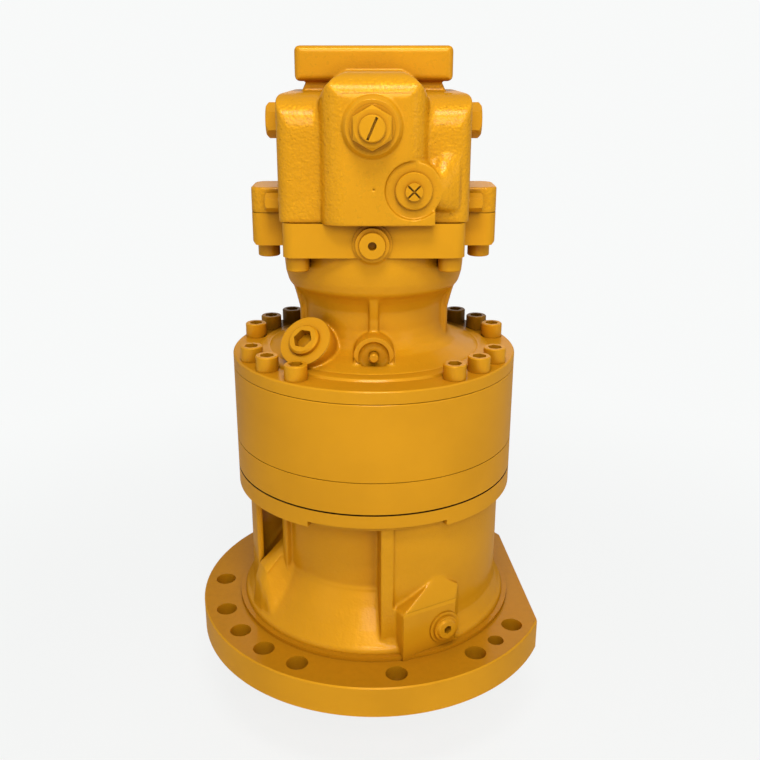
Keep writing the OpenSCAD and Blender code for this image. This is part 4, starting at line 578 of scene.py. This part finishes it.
def metal_tone_group():
    """Colour and roughness of bare metal with oil and handling marks."""
    tree, start, end = new_group(
        "metal_tone",
        [("Vector", "NodeSocketVector", None), ("Metal", "NodeSocketColor", None),
         ("Stain", "NodeSocketColor", None), ("Roughness", "NodeSocketFloat", 0.3)],
        [("Color", "NodeSocketColor"), ("Roughness", "NodeSocketFloat"), ("Height", "NodeSocketFloat")])
    vector = start.outputs["Vector"]
    oil = remap(tree, noise(tree, vector, 24.0, 5.0, 0.6), 0.42, 0.70)
    scratch = add(tree, "ShaderNodeMapping", {"Vector": vector, "Scale": (1.0, 1.0, 9.0)}).outputs[0]
    marks = noise(tree, scratch, 420.0, 3.0, 0.6)
    stained = maths(tree, "MULTIPLY", oil, 0.6)
    colour = mix_colour(tree, stained, start.outputs["Metal"], start.outputs["Stain"])
    rough = maths(tree, "ADD", start.outputs["Roughness"], maths(tree, "MULTIPLY", oil, 0.12))
    rough = maths(tree, "ADD", rough, remap(tree, marks, 0.3, 0.8, -0.04, 0.08))
    tree.links.new(colour, end.inputs["Color"])
    tree.links.new(rough, end.inputs["Roughness"])
    tree.links.new(marks, end.inputs["Height"])
    return tree


def place_effect(tree, name, build, values):
    """A node with the named group, which is built when it's first asked for."""
    group = bpy.data.node_groups.get(name) or build()
    return add(tree, "ShaderNodeGroup", values, node_tree=group)


def openness(tree, distance):
    """1 on open faces, less where something stands within the distance."""
    return add(tree, "ShaderNodeAmbientOcclusion", {"Distance": distance}, samples=6).outputs["AO"]


def set_inputs(shader, values):
    for key, value in values.items():
        shader.inputs[key].default_value = value


def link_bump(tree, shader, height):
    """Lets a height in metres turn the shader's normal."""
    bump = add(tree, "ShaderNodeBump", {"Height": height, "Distance": 1.0, "Strength": 1.0})
    tree.links.new(bump.outputs[0], shader.inputs["Normal"])


def seen_directly(tree):
    """1 where the camera, a gloss or a glass sees the surface, 0 where it only gives light."""
    path = add(tree, "ShaderNodeLightPath")
    seen = maths(tree, "MAXIMUM", path.outputs["Is Camera Ray"], path.outputs["Is Glossy Ray"])
    return maths(tree, "MAXIMUM", seen, path.outputs["Is Transmission Ray"])


def new_material(name):
    """A material with its shader, and the tree, shader and object coordinates to build on."""
    material = bpy.data.materials.new(name)
    material.use_nodes = True
    tree = material.node_tree
    tree.nodes.clear()
    shader = tree.nodes.new("ShaderNodeBsdfPrincipled")
    output = tree.nodes.new("ShaderNodeOutputMaterial")
    tree.links.new(shader.outputs[0], output.inputs["Surface"])
    place = tree.nodes.new("ShaderNodeTexCoord").outputs["Object"]
    return material, tree, shader, place


def rgba(colour):
    return (colour[0], colour[1], colour[2], 1.0)


def gold_paint(name, grain_depth, line_depth, top_shade, masked=False, roughness=None):
    """Gold paint over cast or turned iron, with painted shade in corners, in slots, on faces that look up
    and at the back. masked reads the piece's cast attribute.
    """
    paint = settings().paint
    material, tree, shader, place = new_material(name)
    open_air, near_open = openness(tree, CORNER_REACH), openness(tree, SLOT_REACH)
    grain = place_effect(tree, "cast_grain", cast_grain_group,
                         {"Vector": place, "Grain": 1.0 / paint.grain})
    lines = place_effect(tree, "turned_lines", turned_group, {"Vector": place, "Pitch": 900.0})
    cast = add(tree, "ShaderNodeAttribute", attribute_name="cast").outputs["Fac"] if masked else 1.0
    line_and_back_shade = place_effect(tree, "joint_line_and_back_shade", joint_line_and_back_shade_group, {"Vector": place}).outputs["Joint line and back shade"]
    # The tone paints shade into the colour: in corners, in slots, on faces that look up and at the back
    tone = place_effect(tree, "paint_tone", paint_tone_group,
                        {"Vector": place, "Gold": rgba(paint.gold), "Deep": rgba(paint.deep),
                         "Top shade": rgba(paint.top_shade), "Hollow": rgba(paint.hollow),
                         "Open": open_air, "Near open": near_open, "Joint line and back shade": line_and_back_shade, "Top shade amount": top_shade})
    tree.links.new(tone.outputs["Color"], shader.inputs["Base Color"])
    dull = maths(tree, "ADD", tone.outputs["Dull"], paint.gloss if roughness is None else roughness)
    tree.links.new(dull, shader.inputs["Roughness"])
    set_inputs(shader, {"Metallic": 0.10, "Specular IOR Level": 0.0, "Coat Weight": 0.10, "Coat IOR": 1.8,
                        "Coat Roughness": 0.18})
    height = maths(tree, "MULTIPLY", lines.outputs["Height"], line_depth)
    if grain_depth:
        depth = maths(tree, "MULTIPLY", cast, grain_depth)
        height = maths(tree, "ADD", height, maths(tree, "MULTIPLY", grain.outputs["Height"], depth))
    link_bump(tree, shader, height)
    return material


def bare_metal(name, metal, stain, roughness, metallic=1.0, line_depth=0.000004, coat=0.15):
    """Bare metal with turned or ground lines and a film of oil."""
    material, tree, shader, place = new_material(name)
    tone = place_effect(tree, "metal_tone", metal_tone_group,
                        {"Vector": place, "Metal": rgba(metal), "Stain": rgba(stain),
                         "Roughness": roughness})
    lines = place_effect(tree, "turned_lines", turned_group, {"Vector": place, "Pitch": 2200.0})
    tree.links.new(tone.outputs["Color"], shader.inputs["Base Color"])
    tree.links.new(tone.outputs["Roughness"], shader.inputs["Roughness"])
    set_inputs(shader, {"Metallic": metallic, "Coat Weight": coat, "Coat Roughness": 0.1})
    height = maths(tree, "ADD", maths(tree, "MULTIPLY", lines.outputs["Height"], line_depth),
                   maths(tree, "MULTIPLY", tone.outputs["Height"], line_depth * 0.5))
    link_bump(tree, shader, height)
    return material


def seal_rubber():
    """Matt black rubber with a fine moulded grain."""
    material, tree, shader, place = new_material("seal_rubber")
    fine = noise(tree, place, 1400.0, 2.0)
    colour = mix_colour(tree, noise(tree, place, 60.0, 3.0), rgba((0.018, 0.018, 0.019)),
                        rgba((0.035, 0.034, 0.033)))
    tree.links.new(colour, shader.inputs["Base Color"])
    tree.links.new(remap(tree, fine, 0.3, 0.7, 0.50, 0.66), shader.inputs["Roughness"])
    link_bump(tree, shader, maths(tree, "MULTIPLY", fine, 0.00002))
    return material


def give_finish(nodes, material):
    """Puts a finish on carried-over nodes."""
    for name in nodes:
        node = frame["nodes"][name]
        if not node.material_slots:
            node.data.materials.append(material)
        for place in node.material_slots:
            place.material = material


def ramp(value, low, high):
    """A soft rise from 0 at the low value to 1 at the high one."""
    share = min(1.0, max(0.0, (value - low) / (high - low)))
    return share * share * (3.0 - 2.0 * share)


def far_from(co, point, axis, near, far):
    """0 within the near distance of a line and 1 beyond the far one."""
    arm = co - Vector(point)
    return ramp((arm - arm.dot(Vector(axis)) * Vector(axis)).length, near, far)


class SWINGMOTOR_OT_valve_block(Operator):
    """Make the valve block's casting"""

    bl_idname = "swing_motor.valve_block"
    bl_label = "Valve block"

    def execute(self, context):
        low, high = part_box("valve_block")
        cap_low, cap_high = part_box("front_valve_cap")
        cap = ((cap_low.x + cap_high.x) / 2, low.y, (cap_low.z + cap_high.z) / 2)
        plug_low, plug_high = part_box("cross_plug")
        seat = ((plug_low.x + plug_high.x) / 2, 0.0, (plug_low.z + plug_high.z) / 2)
        side_low, side_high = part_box("relief_valve_left")
        side = (0.0, (side_low.y + side_high.y) / 2, (side_low.z + side_high.z) / 2)
        front = low.y + BULGE_BEHIND

        def is_cast(co):
            share = ramp(co.z, low.z + 0.001, low.z + 0.004)
            share *= 1.0 - ramp(co.y, high.y - 0.006, high.y - 0.004)
            # The seats of the plug, the cap and the side valves are milled
            if co.y < -0.105:
                share *= far_from(co, seat, ALONG_Y, *PLUG_RIM) * far_from(co, cap, ALONG_Y, *CAP_RIM)
            # The bulge's front and the port bridge are smoother
            if co.y < front + 0.001 and co.x > -0.030:
                share *= 0.15
            if co.z > high.z - 0.040 and co.y > -0.060:
                share *= 0.12
            if abs(co.x) > BLOCK_SIDE - 0.003:
                share *= far_from(co, side, ALONG_X, *SIDE_RIM)
            return share

        def is_filleted(co):
            # Where the bulge meets the block, and the right rim of the cross-slotted plug's boss
            if co.y > -0.050:
                return 0.0
            share = 1.0 - ramp(abs(abs(co.x) - BULGE_SIDE), 0.004, 0.009)
            share *= ramp(co.z, low.z + 0.014, low.z + 0.020) * ramp(co.y, front + 0.006, front + 0.012)
            rim = ramp(co.x, seat[0] + 0.020, seat[0] + 0.024) * ramp(co.z, low.z + 0.014, low.z + 0.018)
            rim *= 1.0 - far_from(co, seat, ALONG_Y, 0.034, 0.038)
            return max(share, rim)

        def reshape(co):
            # The boss of the cross-slotted plug runs out into the block's face on its right
            if co.y > BLOCK_FACE or co.x < seat[0] or co.z < low.z + 0.010:
                return
            across, up = co.x - seat[0], co.z - seat[2]
            far = math.hypot(across, up)
            swell = front + 0.003 + (BLOCK_FACE - front - 0.003) * ramp(far, 0.022, 0.060)
            share = ramp(across / far, 0.55, 0.98) if far > 0.020 else 0.0
            share *= ramp(co.z, low.z + 0.010, low.z + 0.016)
            co.y += share * (min(co.y, swell) - co.y)

        piece = cast_part("valve_block", "valve_block_casting",
                          [((0.0, high.y - PORT_PAD_CUT, 0.0), ALONG_Y)], settings().casting.block_cell,
                          is_cast, is_filleted, reshape, root=0.002)
        press_back(piece, cap, FRONT, 0.034, 2.0 * UNDER_MILLED)
        edge = settings().casting.edge
        cap_plane = [((0.0, low.y + CAP_BOSS_DEPTH, 0.0), ALONG_Y)]
        pad_plane = [((0.0, high.y - PORT_PAD_DEPTH, 0.0), FRONT)]
        milled = [milled_part("valve_block", "cap_boss", cap_plane, edge),
                  milled_part("valve_block", "port_pad", pad_plane, edge)]
        piece = joined_casting(piece, milled)
        paint = gold_paint("block_paint", 0.00095, 0.0, 0.3, masked=True, roughness=0.27)
        finish_piece(piece, "valve_block", paint)
        return {"FINISHED"}


class SWINGMOTOR_OT_motor_housing(Operator):
    """Make the motor housing's casting"""

    bl_idname = "swing_motor.motor_housing"
    bl_label = "Motor housing"

    def execute(self, context):
        low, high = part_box("motor_housing")
        cover = low.z + COVER
        bead = (0.0, 0.0, cover + BEAD_RISE)
        plate = (0.0, 0.0, high.z - TOP_PLATE_DEPTH)
        filler = Vector(FILLER_FACE) + Vector((0.0, 0.0, cover))
        behind = [part * -1.0 for part in FILLER_AXIS]
        arch = (0.0, ARCH_FACE, cover + ARCH_RISE)

        def is_cast(co):
            bore = BORES[0] if co.z < BORE_STEP else BORES[1]
            return ramp(math.hypot(co.x, co.y), bore, bore + 0.002)

        piece = cast_part("motor_housing", "motor_housing_casting", [(bead, DOWN), (plate, UP)],
                          settings().casting.housing_cell, is_cast)
        press_back(piece, filler, FILLER_AXIS, 0.031)
        press_back(piece, arch, FRONT, 0.030, lowest=cover + 0.0102)
        edge = settings().casting.edge
        filler_plane = [(filler - FILLER_CUT * Vector(FILLER_AXIS), behind)]
        arch_planes = [((0.0, ARCH_CUT, 0.0), ALONG_Y), ((0.0, 0.0, cover + ARCH_FOOT), DOWN)]
        milled = [milled_part("motor_housing", "cover_flange", [(bead, UP)], edge),
                  milled_part("motor_housing", "top_plate", [(plate, DOWN)], 2.0 * edge),
                  milled_part("motor_housing", "filler_face", filler_plane, edge,
                              (filler, FILLER_AXIS, 0.034)),
                  milled_part("motor_housing", "arch_face", arch_planes, edge, (arch, ALONG_Y, 0.031))]
        piece = joined_casting(piece, milled)
        paint = gold_paint("housing_paint", 0.00024, 0.000008, 0.3, masked=True)
        finish_piece(piece, "motor_housing", paint)
        return {"FINISHED"}


class SWINGMOTOR_OT_gear_case(Operator):
    """Make the gear case's casting"""

    bl_idname = "swing_motor.gear_case"
    bl_label = "Gear case"

    def execute(self, context):
        low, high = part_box("gear_case")
        foot = (0.0, 0.0, low.z + SPIGOT + MOUNTING_FLANGE + REGISTER)
        flange = (0.0, 0.0, high.z - UPPER_FLANGE)
        drain_axis = (math.cos(DRAIN_TURN), math.sin(DRAIN_TURN), 0.0)
        drain = (DRAIN_FACE * drain_axis[0], DRAIN_FACE * drain_axis[1], DRAIN_HEIGHT)
        behind = (-drain_axis[0], -drain_axis[1], 0.0)
        crease = low.z + SPIGOT + NECK_FOOT

        def is_cast(co):
            radius = math.hypot(co.x, co.y)
            share = ramp(radius, *CASE_BORE)
            if share and co.y < 0.0:
                # The drain boss is smoother, and the line between the foot and the neck stays crisp
                share *= 0.3 + 0.7 * far_from(co, drain, drain_axis, 0.050, 0.060)
                if radius < 0.125:
                    share *= 0.2 + 0.8 * ramp(abs(co.z - crease), 0.005, 0.010)
            return share

        def reshape(co):
            radius = math.hypot(co.x, co.y)
            if co.y > 0.0 or not 0.104 < radius < 0.165 or not 0.050 < co.z < 0.140:
                return
            turn = math.degrees(math.atan2(co.y, co.x)) % 360.0
            # The flared foot rises into the deep pocket
            share = ramp(turn, 203.0, 205.0) * (1.0 - ramp(turn, 209.5, 221.0))
            slope = POCKET_SLOPES[0] if radius < POCKET_END[0] else POCKET_SLOPES[1]
            height = POCKET_END[1] + (POCKET_END[0] - radius) * slope
            if co.z < height:
                co.z += share * (height - co.z)
            # A fine ridge where the foot meets the neck
            if radius < 0.125 and 217.0 < turn < 273.0:
                rise = RIDGE * (1.0 - ramp(abs(co.z - crease), 0.0008, 0.0024))
                co.x *= 1.0 + rise / radius
                co.y *= 1.0 + rise / radius

        piece = cast_part("gear_case", "gear_case_casting", [(foot, DOWN), (flange, UP)],
                          settings().casting.case_cell, is_cast, reshape=reshape)
        press_back(piece, drain, drain_axis, 0.080)
        edge = settings().casting.edge
        drain_planes = [([part * DRAIN_CUT for part in drain_axis], behind), (foot, DOWN),
                        ((0.0, 0.0, flange[2] - DRAIN_ROOM), UP)]
        milled = [milled_part("gear_case", "mounting_flange", [(foot, UP)], edge),
                  milled_part("gear_case", "upper_flange", [(flange, DOWN)], edge),
                  milled_part("gear_case", "drain_face", drain_planes, edge, (drain, drain_axis, 0.090))]
        piece = joined_casting(piece, milled)
        paint = gold_paint("case_paint", 0.00036, 0.000008, 0.8, masked=True)
        finish_piece(piece, "gear_case", paint)
        return {"FINISHED"}


class SWINGMOTOR_OT_turned_rings(Operator):
    """Break the edges of the turned rings and paint them"""

    bl_idname = "swing_motor.turned_rings"
    bl_label = "Turned rings"

    def execute(self, context):
        paint = gold_paint("ring_paint", 0.000012, 0.000012, 0.4)
        for node in TURNED_RINGS:
            piece = broken_edge_copy(node, node + "_turned", 2.0 * settings().casting.edge)
            finish_piece(piece, node, paint)
        return {"FINISHED"}


class SWINGMOTOR_OT_fittings(Operator):
    """Break the edges of the screws, plugs and valves and paint them"""

    bl_idname = "swing_motor.fittings"
    bl_label = "Fittings"

    def execute(self, context):
        paint = gold_paint("fitting_paint", 0.00003, 0.0, 0.2, roughness=0.32)
        for node in FITTINGS:
            piece = broken_edge_copy(node, node + "_painted", settings().casting.edge)
            finish_piece(piece, node, paint)
        return {"FINISHED"}


class SWINGMOTOR_OT_inner_parts(Operator):
    """Finish the gears, bearings, brake and motor parts inside"""

    bl_idname = "swing_motor.inner_parts"
    bl_label = "Inner parts"

    def execute(self, context):
        for nodes, *finish in METALS:
            give_finish(nodes, bare_metal(*finish))
        give_finish(RUBBER, seal_rubber())
        return {"FINISHED"}


class SWINGMOTOR_OT_stage(Operator):
    """Set up the floor, the lights and the camera"""

    bl_idname = "swing_motor.stage"
    bl_label = "Stage"

    def execute(self, context):
        self.make_floor(context)
        self.make_room(context)
        for lamp in LAMPS:
            self.add_lamp(*lamp)
        self.add_camera(context)
        context.scene.view_settings.view_transform = "Standard"
        return {"FINISHED"}

    def make_floor(self, context):
        deselect_all()
        bpy.ops.mesh.primitive_plane_add(size=FLOOR_SIZE, location=(0.0, 0.0, CAD_BOX[0][2]))
        floor = context.object
        floor.name = "floor"
        material, tree, shader, place = new_material("floor_paper")
        set_inputs(shader, {"Base Color": rgba((0.90, 0.90, 0.89)), "Roughness": 0.9})
        glow = add(tree, "ShaderNodeEmission", {"Color": rgba(settings().stage.pale), "Strength": 1.0})
        # Round the motor the paper shows more of its shade
        share = remap(tree, length(tree, place), 0.35, 1.2, 0.87, 1.0)
        share = maths(tree, "MULTIPLY", share, seen_directly(tree))
        mix = add(tree, "ShaderNodeMixShader", {0: share, 1: shader.outputs[0], 2: glow.outputs[0]})
        output = next(n for n in tree.nodes if n.type == "OUTPUT_MATERIAL")
        tree.links.new(mix.outputs[0], output.inputs["Surface"])
        floor.data.materials.append(material)

    def make_room(self, context):
        world = bpy.data.worlds.new("studio")
        context.scene.world = world
        world.use_nodes = True
        tree = world.node_tree
        tree.nodes.clear()
        pale = rgba(settings().stage.pale)
        lit = add(tree, "ShaderNodeBackground", {"Color": rgba((1.0, 1.0, 1.0)), "Strength": ROOM_LIGHT})
        shown = add(tree, "ShaderNodeBackground", {"Color": pale, "Strength": 1.0})
        mix = add(tree, "ShaderNodeMixShader",
                  {0: seen_directly(tree), 1: lit.outputs[0], 2: shown.outputs[0]})
        output = add(tree, "ShaderNodeOutputWorld")
        tree.links.new(mix.outputs[0], output.inputs["Surface"])

    def add_lamp(self, name, place, width, height, power):
        deselect_all()
        turn = (Vector(LAMP_AIM) - Vector(place)).to_track_quat("-Z", "Y").to_euler()
        bpy.ops.object.light_add(type="AREA", location=place, rotation=turn)
        lamp = bpy.context.object
        lamp.name = name
        lamp.data.shape = "RECTANGLE"
        lamp.data.size = width
        lamp.data.size_y = height
        lamp.data.energy = power

    def add_camera(self, context):
        stage = settings().stage
        deselect_all()
        bpy.ops.object.camera_add(location=stage.camera_place,
                                  rotation=(math.pi / 2 - stage.camera_drop, 0.0, 0.0))
        camera = context.object
        camera.name = "camera"
        camera.data.sensor_width = SENSOR_MM
        camera.data.lens = SENSOR_MM * stage.focal_px
        camera.data.shift_x = SHIFT_PX[0] / PHOTO_PX
        camera.data.shift_y = SHIFT_PX[1] / PHOTO_PX
        camera.data.clip_start = 0.01
        camera.data.clip_end = 100.0
        context.scene.camera = camera


class SWINGMOTOR_PT_panel(Panel):
    """Settings and steps of the swing motor"""

    bl_idname = "SWINGMOTOR_PT_panel"
    bl_label = "Swing Motor"
    bl_space_type = "VIEW_3D"
    bl_region_type = "UI"
    bl_category = "Swing Motor"

    def draw(self, context):
        for group in (settings().paint, settings().casting, settings().stage):
            box = self.layout.box()
            for key in group.__annotations__:
                box.prop(group, key)
        for step in STEPS:
            self.layout.operator(step.bl_idname)


STEPS = (SWINGMOTOR_OT_stage, SWINGMOTOR_OT_gear_case, SWINGMOTOR_OT_turned_rings,
         SWINGMOTOR_OT_motor_housing, SWINGMOTOR_OT_valve_block, SWINGMOTOR_OT_fittings,
         SWINGMOTOR_OT_inner_parts)
GROUPS = (SwingMotorPaint, SwingMotorCasting, SwingMotorStage, SwingMotorSettings)
CLASSES = GROUPS + STEPS + (SWINGMOTOR_PT_panel,)


def register():
    for cls in CLASSES:
        bpy.utils.register_class(cls)
    bpy.types.Scene.swing_motor = PointerProperty(type=SwingMotorSettings)


def unregister():
    del bpy.types.Scene.swing_motor
    for cls in reversed(CLASSES):
        bpy.utils.unregister_class(cls)


def main():
    register()
    bpy.ops.swing_motor.stage()
    bpy.ops.swing_motor.gear_case()
    bpy.ops.swing_motor.turned_rings()
    bpy.ops.swing_motor.motor_housing()
    bpy.ops.swing_motor.valve_block()
    bpy.ops.swing_motor.fittings()
    bpy.ops.swing_motor.inner_parts()


if __name__ == "__main__":
    main()
